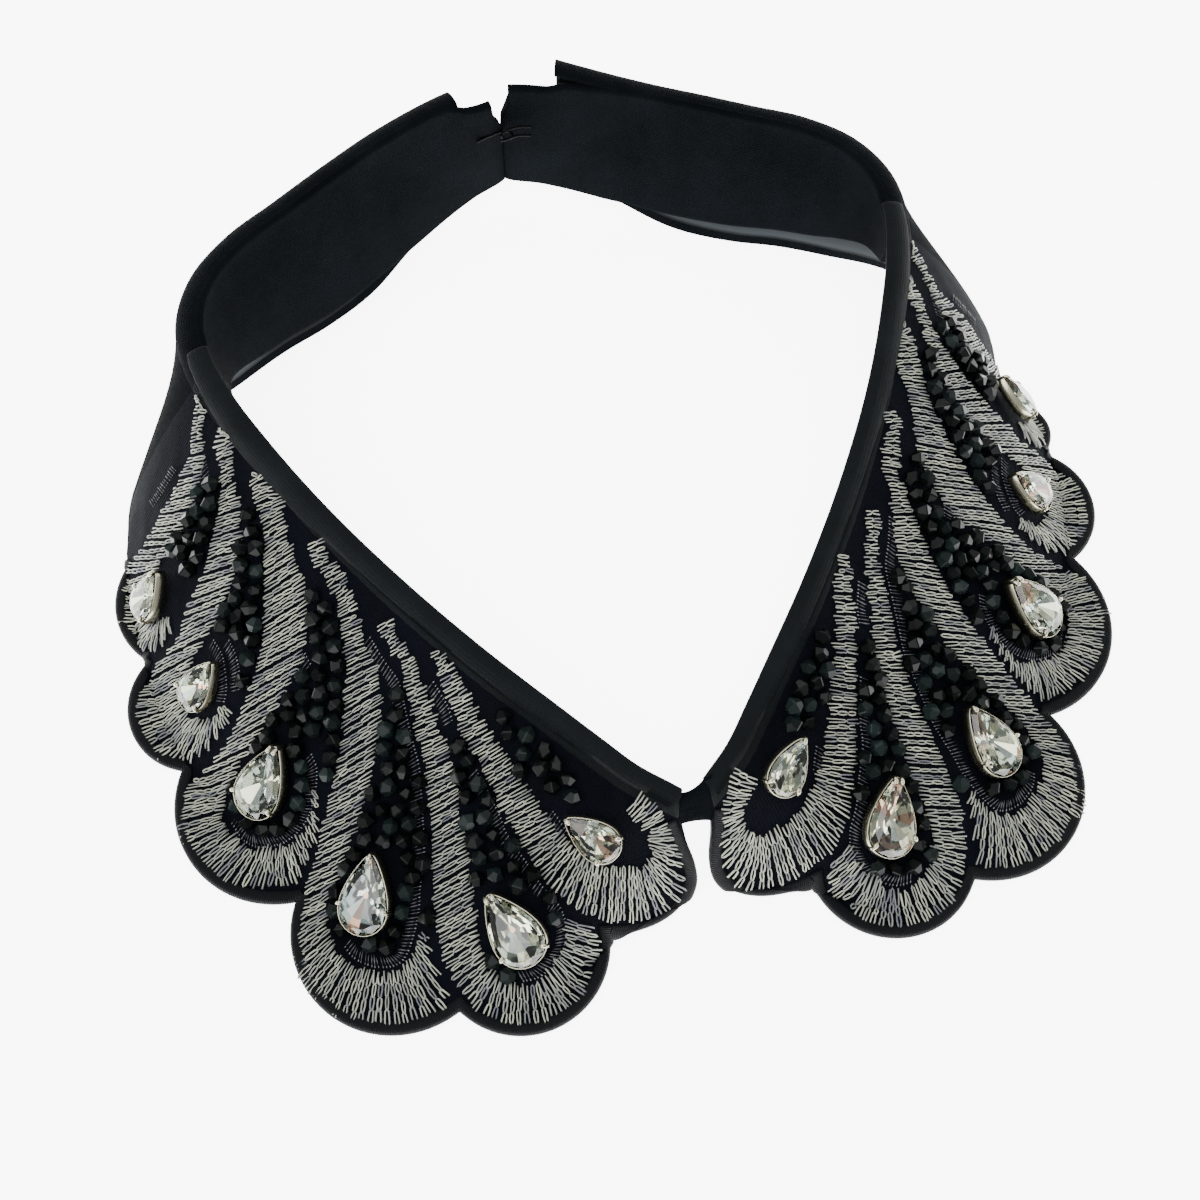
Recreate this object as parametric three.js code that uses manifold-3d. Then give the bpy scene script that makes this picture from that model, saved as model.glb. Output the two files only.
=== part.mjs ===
// Detachable cloth collar with beaded and embroidered lobes, in mm, +Z up, standing as it lies on a table.
// Each half is one sheet surface, placed by s (along the fold, from the front tie) and t (down the sheet).
import * as THREE from "three";
import { mergeVertices } from "three/addons/utils/BufferGeometryUtils.js";
import Module from "manifold-3d";

const wasm = await Module();
wasm.setup();

// Walls, gaps and small parts
const LEAF_WALL = 1.8;
const STAND_WALL = 1.6;
const GAP = 0.5;
const THREAD_LIFT = 0.6;
const THREAD_THICK = 0.6;
const LANDING = 0.8;
const BACKING_THICK = 0.7;
const BEAD_RADIUS = 1.7;
const BEAD_PITCH = 5.6;
const BEAD_ROW = 4.6;
const WIRE = 0.7;
const SEAT_LIFT = 0.8;
const CENTRE_Y = -94.58;
const FALL_END = 208;

// Stations of one half, front tie to centre back.
// Fold: where the sheet turns over, at the neckline. Hem: where it meets the table.
const STATIONS = [
  { foldX: 3.4, foldY: -157.7, foldZ: 20.0, roll: 1.0, hemX: 2.4, hemY: -171.0, hemZ: 2.5, bulge: 0.0 },
  { foldX: 9.2, foldY: -153.0, foldZ: 22.0, roll: 1.2, hemX: 19.0, hemY: -176.5, hemZ: 1.0, bulge: 0.5 },
  { foldX: 14.5, foldY: -147.0, foldZ: 23.8, roll: 1.3, hemX: 36.0, hemY: -186.0, hemZ: 0.0, bulge: -1.0 },
  { foldX: 20.0, foldY: -140.5, foldZ: 25.5, roll: 1.5, hemX: 52.0, hemY: -182.0, hemZ: 0.0, bulge: -1.5 },
  { foldX: 32.0, foldY: -126.0, foldZ: 29.0, roll: 1.5, hemX: 70.0, hemY: -162.5, hemZ: 0.0, bulge: -1.0 },
  { foldX: 44.0, foldY: -109.5, foldZ: 32.0, roll: 1.5, hemX: 84.0, hemY: -140.5, hemZ: 0.0, bulge: 1.0 },
  { foldX: 55.0, foldY: -91.7, foldZ: 34.0, roll: 2.0, hemX: 94.0, hemY: -118.0, hemZ: 0.0, bulge: 2.0 },
  { foldX: 63.5, foldY: -74.7, foldZ: 34.5, roll: 2.5, hemX: 97.5, hemY: -96.0, hemZ: 0.0, bulge: 2.5 },
  { foldX: 68.0, foldY: -64.0, foldZ: 34.5, roll: 3.0, hemX: 98.0, hemY: -76.5, hemZ: 0.0, bulge: 2.5 },
  { foldX: 71.2, foldY: -52.0, foldZ: 34.5, roll: 3.5, hemX: 92.5, hemY: -57.0, hemZ: 0.0, bulge: 2.0 },
  { foldX: 71.0, foldY: -43.0, foldZ: 34.5, roll: 4.0, hemX: 79.5, hemY: -43.8, hemZ: 0.0, bulge: 1.5 },
  { foldX: 67.3, foldY: -35.0, foldZ: 34.5, roll: 4.5, hemX: 67.5, hemY: -36.8, hemZ: 0.0, bulge: 1.0 },
  { foldX: 60.0, foldY: -28.0, foldZ: 34.5, roll: 4.5, hemX: 58.0, hemY: -31.8, hemZ: 0.0, bulge: 0.5 },
  { foldX: 50.0, foldY: -22.2, foldZ: 34.5, roll: 4.5, hemX: 47.5, hemY: -27.5, hemZ: 0.0, bulge: 0.0 },
  { foldX: 38.0, foldY: -15.3, foldZ: 34.5, roll: 4.5, hemX: 35.5, hemY: -21.3, hemZ: 1.0, bulge: 0.0 },
  { foldX: 26.0, foldY: -9.0, foldZ: 34.5, roll: 4.5, hemX: 24.6, hemY: -13.2, hemZ: 3.2, bulge: 0.0 },
  { foldX: 13.0, foldY: -4.0, foldZ: 34.5, roll: 4.5, hemX: 12.4, hemY: -5.4, hemZ: 5.5, bulge: 0.0 },
  { foldX: 2.4, foldY: -1.4, foldZ: 34.5, roll: 4.5, hemX: 1.8, hemY: -2.2, hemZ: 6.0, bulge: 0.0 },
];

// Foot of the stand, by distance along the fold
const STAND_FOOT = [
  { s: 117, footX: 68.3, footY: -61.5, footZ: 30.5 },
  { s: 127, footX: 68.5, footY: -52.0, footZ: 23.5 },
  { s: 136, footX: 66.5, footY: -44.0, footZ: 15.5 },
  { s: 145, footX: 62.0, footY: -38.0, footZ: 10.0 },
  { s: 155, footX: 55.5, footY: -33.5, footZ: 8.0 },
  { s: 167, footX: 46.0, footY: -29.0, footZ: 7.0 },
  { s: 181, footX: 34.5, footY: -22.3, footZ: 6.4 },
  { s: 194, footX: 23.5, footY: -14.8, footZ: 6.2 },
  { s: 208, footX: 12.0, footY: -7.3, footZ: 6.0 },
  { s: 218.9, footX: 0.7, footY: -1.4, footZ: 6.2 },
];

// Scallops of the hem, front to back, as plan arcs between two notches
const SCALLOPS = [
  { fromX: 2.4, fromY: -168.5, toX: 20.3, toY: -176.3, depth: 4.6, steps: 6, s: 3, t: 30 },
  { fromX: 20.3, fromY: -176.3, toX: 50.8, toY: -183.5, depth: 11.2, steps: 8, s: 13, t: 52 },
  { fromX: 50.8, fromY: -183.5, toX: 76.6, toY: -155.6, depth: 13.8, steps: 9, s: 36, t: 72 },
  { fromX: 76.6, fromY: -155.6, toX: 94.0, toY: -124.1, depth: 10.3, steps: 8, s: 65, t: 70 },
  { fromX: 94.0, fromY: -124.1, toX: 97.2, toY: -99.3, depth: 7.4, steps: 7, s: 90, t: 62 },
  { fromX: 97.2, fromY: -99.3, toX: 98.2, toY: -76.3, depth: 4.8, steps: 5, s: 108, t: 52 },
];

// Embroidered bands, front to back: from the fold down an arm, round the scallop and back up; points are [s, t]
const BANDS = [
  { arm: [[50.5, 6.4], [33, 11.2], [21.6, 19.6], [14.6, 25.4]], hook: [[9.6, 26.4], [5.4, 24.4], [3.3, 15.4]],
    end: [6.1, 5.6], width: 7.4 },
  { arm: [[61.8, 7.5], [47, 18], [37.4, 27.6], [29.6, 40]], end: [12.2, 35], width: 7.6 },
  { arm: [[82, 6], [65, 15.6], [57, 22.8], [52, 37], [50.4, 50]], end: [30, 52], width: 8 },
  { arm: [[103, 6], [89.4, 11.6], [79.6, 19.6], [74.4, 33], [74.8, 49]], end: [56.6, 46], width: 7.8 },
  { arm: [[114.5, 6.5], [103.8, 15.8], [98.2, 26.6], [95.8, 39.6]], end: [79.8, 46], width: 6.4 },
  { arm: [[124, 7.5], [115.6, 17], [112.4, 30], [112.8, 42]], end: [101.4, 44], width: 4.8 },
];

// Width of a band along its run, as a share of its full width
const BAND_WIDTHS = [
  { run: 0, share: 0.28 },
  { run: 0.3, share: 1 },
  { run: 0.46, share: 1 },
  { run: 0.6, share: 0.74 },
  { run: 0.78, share: 0.86 },
  { run: 0.92, share: 0.68 },
  { run: 1, share: 0.4 },
];
const RIM_WIDTH = 2.4;

// Pear-cut stones, front to back: seat and the point that the narrow end looks at, as [s, t]
const STONES = [
  { seat: [13.2, 15.4], point: [19, 14.8], long: 11.4, wide: 7.2 },
  { seat: [21.4, 39.2], point: [25.6, 35.8], long: 15, wide: 9.6 },
  { seat: [40.9, 50.9], point: [43.1, 43.6], long: 15, wide: 9.6 },
  { seat: [65.1, 49.2], point: [66, 41], long: 15, wide: 9.6 },
  { seat: [86.9, 46.2], point: [86.5, 40.6], long: 11.4, wide: 7.2 },
  { seat: [106.3, 42.2], point: [106.5, 36], long: 11.4, wide: 7.2 },
];

// Bead fields, front to back: the line that each one follows, and the most that it spreads either side
const FIELDS = [
  { line: [[36, 7], [29, 8.4], [22, 9.4]], spread: 3.6 },
  { line: [[46, 13], [36, 21], [29.4, 29], [27, 36]], spread: 5 },
  { line: [[58, 15], [50, 25], [44.4, 34], [38, 41], [35, 49]], spread: 5 },
  { line: [[73.2, 17], [66.4, 27.6], [62.8, 36], [59, 44]], spread: 5 },
  { line: [[92, 15], [87, 25], [84, 34], [82.8, 40]], spread: 3.4 },
  { line: [[107, 16], [105, 24], [104, 32]], spread: 2.8 },
];

const vec = (x, y, z) => new THREE.Vector3(x, y, z);

// Smooth value of a table column at x, by cubic pieces through the rows
function columns(rows, at, names) {
  const slopes = names.map((name) => rows.map((row, i) => {
    const step = (k) => (rows[k + 1][name] - rows[k][name]) / (at[k + 1] - at[k]);
    if (i === 0) return step(0);
    if (i === rows.length - 1) return step(i - 1);
    const before = at[i] - at[i - 1];
    const after = at[i + 1] - at[i];
    return (step(i - 1) * after + step(i) * before) / (before + after);
  }));
  return (x) => {
    let i = 0;
    while (i < rows.length - 2 && x > at[i + 1]) i += 1;
    const span = at[i + 1] - at[i];
    const w = (x - at[i]) / span;
    const a = 2 * w ** 3 - 3 * w ** 2 + 1;
    const b = (w ** 3 - 2 * w ** 2 + w) * span;
    const c = -2 * w ** 3 + 3 * w ** 2;
    const d = (w ** 3 - w ** 2) * span;
    const out = {};
    names.forEach((name, k) => {
      out[name] = a * rows[i][name] + b * slopes[k][i] + c * rows[i + 1][name] + d * slopes[k][i + 1];
    });
    return out;
  };
}

const stationAt = [0];
for (let i = 1; i < STATIONS.length; i += 1) {
  const dx = STATIONS[i].foldX - STATIONS[i - 1].foldX;
  const dy = STATIONS[i].foldY - STATIONS[i - 1].foldY;
  stationAt.push(stationAt[i - 1] + Math.hypot(dx, dy));
}
const station = columns(STATIONS, stationAt, Object.keys(STATIONS[0]));
const standFoot = columns(STAND_FOOT, STAND_FOOT.map((row) => row.s), ["footX", "footY", "footZ"]);

// Plan direction that looks out of the neck at s
function outward(s) {
  const a = station(s - 0.2);
  const b = station(s + 0.2);
  const along = vec(b.foldX - a.foldX, b.foldY - a.foldY, 0).normalize();
  return vec(along.y, -along.x, 0);
}

// A slope that comes down on to the table and runs on flat
function land(z) {
  if (z > LANDING) return z;
  if (z < -LANDING) return 0;
  return (z + LANDING) ** 2 / (4 * LANDING);
}

// The roll's end, the hem and the length down the sheet at s
function profile(s) {
  const row = station(s);
  const out = outward(s);
  const foldPoint = vec(row.foldX, row.foldY, row.foldZ);
  const rollEnd = foldPoint.clone().addScaledVector(out, row.roll).add(vec(0, 0, -row.roll));
  const down = vec(row.hemX, row.hemY, row.hemZ).sub(rollEnd);
  const arc = row.roll * Math.PI / 2;
  return { row, out, foldPoint, rollEnd, arc, slope: down.length(), down: down.clone().normalize() };
}

function fullDepth(s) {
  const p = profile(s);
  return p.arc + p.slope;
}

// Point of the underside: a quarter-round roll, then a nearly straight slope to the hem and beyond
function underside(s, t) {
  const p = profile(s);
  if (t < p.arc) {
    const turn = Math.max(t, 0) / p.row.roll;
    const rise = p.row.roll * (Math.cos(turn) - 1);
    return p.foldPoint.clone().addScaledVector(p.out, p.row.roll * Math.sin(turn)).add(vec(0, 0, rise));
  }
  const point = p.rollEnd.clone().addScaledVector(p.down, t - p.arc);
  const share = Math.min((t - p.arc) / p.slope, 1);
  point.z = land(point.z + p.row.bulge * 4 * share * (1 - share));
  return point;
}

function directions(s, t) {
  const ds = underside(s + 0.3, t).sub(underside(s - 0.3, t)).divideScalar(0.6);
  const low = Math.max(t - 0.3, 0);
  const dt = underside(s, t + 0.3).sub(underside(s, low)).divideScalar(t + 0.3 - low);
  return { ds, dt, normal: dt.clone().cross(ds).normalize() };
}

function onSheet(s, t, lift) {
  return underside(s, t).addScaledVector(directions(s, t).normal, lift);
}

// The [s, t] that lies a small way from another, along a direction in space
function step(s, t, move) {
  const { ds, dt } = directions(s, t);
  const a = ds.dot(ds);
  const b = ds.dot(dt);
  const c = dt.dot(dt);
  const p = ds.dot(move);
  const q = dt.dot(move);
  const det = a * c - b * b;
  return [s + (c * p - b * q) / det, t + (a * q - b * p) / det];
}

// The [s, t] above a plan point, from a first guess
function locate(x, y, s, t) {
  for (let i = 0; i < 30; i += 1) {
    const miss = vec(x, y, 0).sub(underside(s, t));
    const { ds, dt } = directions(s, t);
    const det = ds.x * dt.y - ds.y * dt.x;
    s += 0.7 * (miss.x * dt.y - miss.y * dt.x) / det;
    t += 0.7 * (ds.x * miss.y - ds.y * miss.x) / det;
    s = Math.max(s, 0);
  }
  return [s, t];
}

// A closed body from points and triangles, turned to face out
function body(points, triangles) {
  let volume = 0;
  for (const [a, b, c] of triangles) {
    volume += points[a].dot(points[b].clone().cross(points[c]));
  }
  const faces = volume < 0 ? triangles.map(([a, b, c]) => [a, c, b]) : triangles;
  const geometry = new THREE.BufferGeometry();
  geometry.setAttribute("position", new THREE.Float32BufferAttribute(points.flatMap((p) => p.toArray()), 3));
  geometry.setIndex(faces.flat());
  return geometry;
}

// A wall between two grids of points with the same rows and columns
function wall(top, bottom) {
  const rows = top[0].length;
  const points = [...top.flat(), ...bottom.flat()];
  const half = top.length * rows;
  const at = (i, j, side) => side * half + i * rows + j;
  const triangles = [];
  const quad = (a, b, c, d) => triangles.push([a, b, c], [a, c, d]);
  for (let i = 0; i < top.length - 1; i += 1) {
    for (let j = 0; j < rows - 1; j += 1) {
      quad(at(i, j, 0), at(i + 1, j, 0), at(i + 1, j + 1, 0), at(i, j + 1, 0));
      quad(at(i, j, 1), at(i, j + 1, 1), at(i + 1, j + 1, 1), at(i + 1, j, 1));
    }
    quad(at(i, 0, 0), at(i, 0, 1), at(i + 1, 0, 1), at(i + 1, 0, 0));
    quad(at(i, rows - 1, 0), at(i + 1, rows - 1, 0), at(i + 1, rows - 1, 1), at(i, rows - 1, 1));
  }
  const last = top.length - 1;
  for (let j = 0; j < rows - 1; j += 1) {
    quad(at(0, j, 0), at(0, j + 1, 0), at(0, j + 1, 1), at(0, j, 1));
    quad(at(last, j, 0), at(last, j, 1), at(last, j + 1, 1), at(last, j + 1, 0));
  }
  return body(points, triangles);
}

// Plan points of one scallop's arc, or of one set in from it
function scallop(row, inset = 0) {
  const from = new THREE.Vector2(row.fromX, row.fromY);
  const to = new THREE.Vector2(row.toX, row.toY);
  const half = from.distanceTo(to) / 2;
  const radius = (half ** 2 + row.depth ** 2) / (2 * row.depth);
  const along = to.clone().sub(from).normalize();
  const out = new THREE.Vector2(along.y, -along.x);
  const centre = from.clone().lerp(to, 0.5).addScaledVector(out, row.depth - radius);
  const sweep = Math.atan2(half, radius - row.depth);
  const points = [];
  for (let i = 0; i <= row.steps; i += 1) {
    const turn = sweep * (2 * i / row.steps - 1);
    points.push(centre.clone().addScaledVector(along, (radius - inset) * Math.sin(turn))
      .addScaledVector(out, (radius - inset) * Math.cos(turn)));
  }
  return points;
}

// Hem of the leaf as [s, t], front edge to centre back, with the fold's s for each point
function hemLine() {
  const line = [];
  SCALLOPS.forEach((row) => {
    const arc = scallop(row).map((p) => locate(p.x, p.y, row.s, row.t));
    const first = line.length ? line[line.length - 1].foldS : 0;
    const end = arc[arc.length - 1][0];
    arc.forEach(([s, t], i) => {
      if (i === 0 && line.length) return;
      line.push({ s, t, foldS: first + (end - first) * i / row.steps });
    });
  });
  const start = line[line.length - 1].s;
  const plainSteps = 13;
  for (let i = 1; i <= plainSteps; i += 1) {
    const s = start + (FALL_END - start) * i / plainSteps;
    line.push({ s, t: fullDepth(s), foldS: s });
  }
  return line;
}

// Leaf and fall: columns from fold to hem, with rows on the roll, on the slope and at the landing
function leafGeometry() {
  const top = [];
  const bottom = [];
  for (const hem of hemLine()) {
    const arc = profile(hem.foldS).arc / hem.t;
    let land0 = 0.8;
    for (let i = 0; i < 12; i += 1) {
      land0 = Math.min(fullDepth(hem.foldS + (hem.s - hem.foldS) * land0) / hem.t, 1);
    }
    const margin = 1.9 / hem.t;
    const lower = Math.max(Math.min(land0 - margin, 0.93), arc + 0.3);
    const upper = Math.max(Math.min(land0 + margin, 0.985), lower + 0.01);
    const shares = [0, arc / 2, arc, (arc + lower) / 2, lower, upper, 1];
    top.push(shares.map((w) => {
      const point = onSheet(hem.foldS + (hem.s - hem.foldS) * w, hem.t * w, LEAF_WALL);
      point.z = Math.max(point.z, 0);
      return point;
    }));
    bottom.push(shares.map((w) => underside(hem.foldS + (hem.s - hem.foldS) * w, hem.t * w)));
  }
  return wall(top, bottom);
}

// Stand: a leaning band from just under the fold down to its foot
function standPoint(s, share) {
  const row = station(s);
  const foot = standFoot(s);
  return vec(row.foldX, row.foldY, row.foldZ - 1.2).lerp(vec(foot.footX, foot.footY, foot.footZ), share);
}

function standGeometry() {
  const inner = [];
  const outer = [];
  const steps = 16;
  const rows = 3;
  for (let i = 0; i <= steps; i += 1) {
    const s = 117 + (218.9 - 117) * i / steps;
    const inside = [];
    const outside = [];
    for (let j = 0; j <= rows; j += 1) {
      const point = standPoint(s, j / rows);
      inside.push(point);
      outside.push(point.clone().addScaledVector(outward(s), STAND_WALL));
    }
    inner.push(inside);
    outer.push(outside);
  }
  return wall(outer, inner);
}

function bandShare(w) {
  const i = Math.max(BAND_WIDTHS.findIndex((row) => row.run >= w), 1);
  const [low, high] = [BAND_WIDTHS[i - 1], BAND_WIDTHS[i]];
  return low.share + (high.share - low.share) * (w - low.run) / (high.run - low.run);
}

// Hook of a band: the scallop's own arc, set in from the hem by the rim and half the band
function hookPoints(row, rim) {
  const points = scallop({ ...rim, steps: 8 }, RIM_WIDTH + 0.42 * row.width);
  return [7, 6, 4, 2, 1].map((i) => locate(points[i].x, points[i].y, rim.s, rim.t));
}

function bandCurve(row) {
  const run = [...row.arm, ...(row.hook || hookPoints(row, SCALLOPS[BANDS.indexOf(row)])), row.end];
  return new THREE.CatmullRomCurve3(run.map(([s, t]) => vec(s, t, 0)), false, "centripetal");
}

// A strip that lies on the sheet along [s, t] points, with a half-width for each
function strip(line, halves, lift, thick) {
  const top = [];
  const bottom = [];
  line.forEach(([s, t], i) => {
    const before = line[Math.max(i - 1, 0)];
    const after = line[Math.min(i + 1, line.length - 1)];
    const along = onSheet(after[0], after[1], 0).sub(onSheet(before[0], before[1], 0)).normalize();
    const side = directions(s, t).normal.clone().cross(along).normalize();
    const edges = [-1, 1].map((k) => step(s, t, side.clone().multiplyScalar(k * halves[i])));
    top.push(edges.map(([a, b]) => onSheet(a, b, lift + thick)));
    bottom.push(edges.map(([a, b]) => onSheet(a, b, lift)));
  });
  return wall(top, bottom);
}

function bandLine(row, steps) {
  return bandCurve(row).getSpacedPoints(steps).map((p) => [p.x, p.y]);
}

function bandGeometry(row) {
  const steps = 18;
  const line = bandLine(row, steps);
  const halves = line.map((p, i) => row.width / 2 * bandShare(i / steps));
  return strip(line, halves, LEAF_WALL + THREAD_LIFT, THREAD_THICK);
}

// Clear distance from a point of the sheet to the bands and stones round it
const OBSTACLES = BANDS.flatMap((row) => bandLine(row, 60).map(([s, t], i) => (
  { at: onSheet(s, t, LEAF_WALL), reach: row.width / 2 * bandShare(i / 60) })));
STONES.forEach((row) => {
  const seat = onSheet(row.seat[0], row.seat[1], LEAF_WALL);
  const point = onSheet(row.point[0], row.point[1], LEAF_WALL).sub(seat).normalize();
  const half = row.wide / 2 + 1;
  OBSTACLES.push({ at: seat.clone().addScaledVector(point, -(row.long - row.wide) / 2), reach: half });
  OBSTACLES.push({ at: seat.clone().addScaledVector(point, 0.1 * row.long), reach: half * 0.85 });
  OBSTACLES.push({ at: seat.clone().addScaledVector(point, 0.35 * row.long), reach: half * 0.5 });
});

function clearance(s, t) {
  const point = onSheet(s, t, LEAF_WALL);
  return Math.min(...OBSTACLES.map((o) => o.at.distanceTo(point) - o.reach));
}

function toManifold(geometry) {
  const merged = mergeVertices(geometry, 1e-4);
  return new wasm.Manifold(new wasm.Mesh({
    numProp: 3,
    vertProperties: new Float32Array(merged.attributes.position.array),
    triVerts: new Uint32Array(merged.index.array),
  }));
}

function fromManifold(solid) {
  const mesh = solid.getMesh();
  const geometry = new THREE.BufferGeometry();
  geometry.setAttribute("position", new THREE.BufferAttribute(new Float32Array(mesh.vertProperties), 3));
  geometry.setIndex(new THREE.BufferAttribute(new Uint32Array(mesh.triVerts), 1));
  return geometry;
}

function join(parts) {
  return fromManifold(parts.map(toManifold).reduce((all, next) => all.add(next)));
}

// A six-sided bicone bead lying on the sheet, its hole along the turn
function bead(s, t, turn) {
  const profilePoints = [[0, -BEAD_RADIUS], [BEAD_RADIUS, 0], [0, BEAD_RADIUS]];
  const cone = new THREE.LatheGeometry(profilePoints.map(([r, h]) => new THREE.Vector2(r, h)), 6);
  cone.deleteAttribute("normal");
  cone.deleteAttribute("uv");
  const { ds, normal } = directions(s, t);
  const across = ds.clone().normalize().applyAxisAngle(normal, turn);
  const basis = new THREE.Matrix4().makeBasis(across.clone().cross(normal), across, normal);
  cone.applyMatrix4(basis);
  const centre = onSheet(s, t, LEAF_WALL + GAP + BACKING_THICK + BEAD_RADIUS - 0.5);
  cone.translate(centre.x, centre.y, centre.z);
  return cone;
}

// The same line moved sideways to where it has the most room
function centred(line) {
  const sideAt = (i) => {
    const before = line[Math.max(i - 1, 0)];
    const after = line[Math.min(i + 1, line.length - 1)];
    const along = onSheet(after[0], after[1], 0).sub(onSheet(before[0], before[1], 0)).normalize();
    return directions(line[i][0], line[i][1]).normal.clone().cross(along).normalize();
  };
  const offsets = line.map(([s, t], i) => {
    const side = sideAt(i);
    let best = 0;
    let most = -100;
    for (let k = -3; k <= 3; k += 0.25) {
      const [a, b] = step(s, t, side.clone().multiplyScalar(k));
      const room = clearance(a, b) - 0.02 * Math.abs(k);
      if (room > most) [best, most] = [k, room];
    }
    return best;
  });
  return line.map(([s, t], i) => step(s, t, sideAt(i).multiplyScalar(offsets[i])));
}

// Rows of beads on a thin backing that fills the clear width along the field's line
function fieldGeometry(row) {
  const curve = new THREE.CatmullRomCurve3(row.line.map(([s, t]) => vec(s, t, 0)), false, "centripetal");
  const length = row.line.slice(1).reduce((sum, [s, t], i) => (
    sum + onSheet(s, t, 0).distanceTo(onSheet(row.line[i][0], row.line[i][1], 0))), 0);
  const count = Math.round(length / BEAD_PITCH);
  const line = centred(curve.getSpacedPoints(count).map((p) => [p.x, p.y]));
  const halves = line.map(([s, t]) => Math.max(Math.min(clearance(s, t) - 0.6, row.spread), 0.7));
  const parts = [strip(line, halves, LEAF_WALL + GAP, BACKING_THICK)];
  line.forEach(([s, t], i) => {
    const before = line[Math.max(i - 1, 0)];
    const after = line[Math.min(i + 1, line.length - 1)];
    const along = onSheet(after[0], after[1], 0).sub(onSheet(before[0], before[1], 0)).normalize();
    const side = directions(s, t).normal.clone().cross(along).normalize();
    const inset = i === 0 || i === line.length - 1 ? 0.35 : 0;
    const room = Math.max(halves[i] - 1.5, 0);
    const across = Math.max(1, Math.floor(2 * room / BEAD_ROW) + 1);
    for (let k = 0; k < across; k += 1) {
      const offset = across === 1 ? 0 : room * (2 * k / (across - 1) - 1);
      const move = side.clone().multiplyScalar(offset).addScaledVector(along, i === 0 ? inset : -inset);
      const [a, b] = step(s, t, move);
      if (clearance(a, b) < 1.6) continue;
      parts.push(bead(a, b, 1.9 * i + 0.8 * k));
    }
  });
  return join(parts);
}

// Pear outline round the origin, narrow end along +X
function pear(long, wide, grow, count) {
  const points = [];
  for (let i = 0; i < count; i += 1) {
    const turn = 2 * Math.PI * i / count;
    const narrow = 1 - 0.5 * ((1 + Math.cos(turn)) / 2) ** 1.5;
    const x = long / 2 * Math.cos(turn);
    const y = wide / 2 * Math.sin(turn) * narrow * 1.16;
    const away = new THREE.Vector2(Math.cos(turn), Math.sin(turn) * long / wide).normalize();
    points.push(new THREE.Vector2(x + away.x * grow, y + away.y * grow));
  }
  return points;
}

// Loops of the same count stacked and closed with a fan at each end
function stack(loops) {
  const count = loops[0].length;
  const points = loops.flat();
  const triangles = [];
  for (let k = 0; k < loops.length - 1; k += 1) {
    for (let i = 0; i < count; i += 1) {
      const a = k * count + i;
      const b = k * count + (i + 1) % count;
      triangles.push([a, b, b + count], [a, b + count, a + count]);
    }
  }
  for (let i = 1; i < count - 1; i += 1) {
    triangles.push([0, i + 1, i]);
    const top = (loops.length - 1) * count;
    triangles.push([top, top + i, top + i + 1]);
  }
  return body(points, triangles);
}

const raised = (outline, z) => outline.map((p) => vec(p.x, p.y, z));
const scaled = (outline, k) => outline.map((p) => p.clone().multiplyScalar(k));

// Cut stone: small flat back, pavilion, girdle, crown and table
function stoneGeometry(row) {
  const size = row.wide / 11;
  const outline = pear(row.long, row.wide, 0, 10);
  return stack([
    raised(scaled(outline, 0.35), 1.5),
    raised(outline, 3.0 + 0.6 * size),
    raised(outline, 3.4 + 0.6 * size),
    raised(scaled(outline, 0.56), 3.6 + 2.2 * size),
  ]);
}

// Claw that stands on the cup's rim and bends in over the stone
function claw(x, y, girdle) {
  const shape = new THREE.Shape([[0.35, -1.4], [1, -1.4], [1, 1.5], [-0.7, 1.9], [-0.7, 1.3], [0.35, 1]]
    .map(([a, b]) => new THREE.Vector2(a, b)));
  const geometry = new THREE.ExtrudeGeometry(shape, { depth: 1.3, bevelEnabled: false });
  geometry.deleteAttribute("normal");
  geometry.deleteAttribute("uv");
  geometry.translate(0, 0, -0.65);
  const out = vec(x, y, 0).normalize();
  const up = vec(0, 0, 1);
  geometry.applyMatrix4(new THREE.Matrix4().makeBasis(out, up, out.clone().cross(up)));
  geometry.translate(x, y, girdle);
  return geometry;
}

function settingGeometry(row) {
  const size = row.wide / 11;
  const rim = 2.7 + 0.6 * size;
  const inner = pear(row.long, row.wide, 0.35, 10);
  const outer = pear(row.long, row.wide, 0.95, 10);
  const cup = stack([raised(inner, 1.1), raised(inner, rim), raised(outer, rim), raised(outer, 0.5)]);
  const edge = pear(row.long, row.wide, 0, 10);
  const claws = [0, 3, 7].map((i) => claw(edge[i].x, edge[i].y, 3.4 + 0.6 * size));
  return join([cup, ...claws]);
}

// Stand a seat's local shape on the sheet
function seated(geometry, row) {
  const [s, t] = row.seat;
  const { normal } = directions(s, t);
  const seat = onSheet(s, t, LEAF_WALL + SEAT_LIFT);
  const toward = onSheet(row.point[0], row.point[1], LEAF_WALL).sub(seat);
  const along = toward.addScaledVector(normal, -toward.dot(normal)).normalize();
  geometry.applyMatrix4(new THREE.Matrix4().makeBasis(along, normal.clone().cross(along), normal));
  geometry.translate(seat.x, seat.y, seat.z);
  return geometry;
}

// Round wire along points
function wire(points) {
  const circle = [];
  for (let i = 0; i < 6; i += 1) {
    circle.push(new THREE.Vector2(WIRE / 2 * Math.cos(Math.PI * i / 3), WIRE / 2 * Math.sin(Math.PI * i / 3)));
  }
  const path = new THREE.CatmullRomCurve3(points.map((p) => vec(...p)), false, "centripetal");
  const settings = { steps: 12, extrudePath: path, bevelEnabled: false };
  const geometry = new THREE.ExtrudeGeometry(new THREE.Shape(circle), settings);
  geometry.deleteAttribute("normal");
  geometry.deleteAttribute("uv");
  return mergeVertices(geometry, 1e-4);
}

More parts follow.
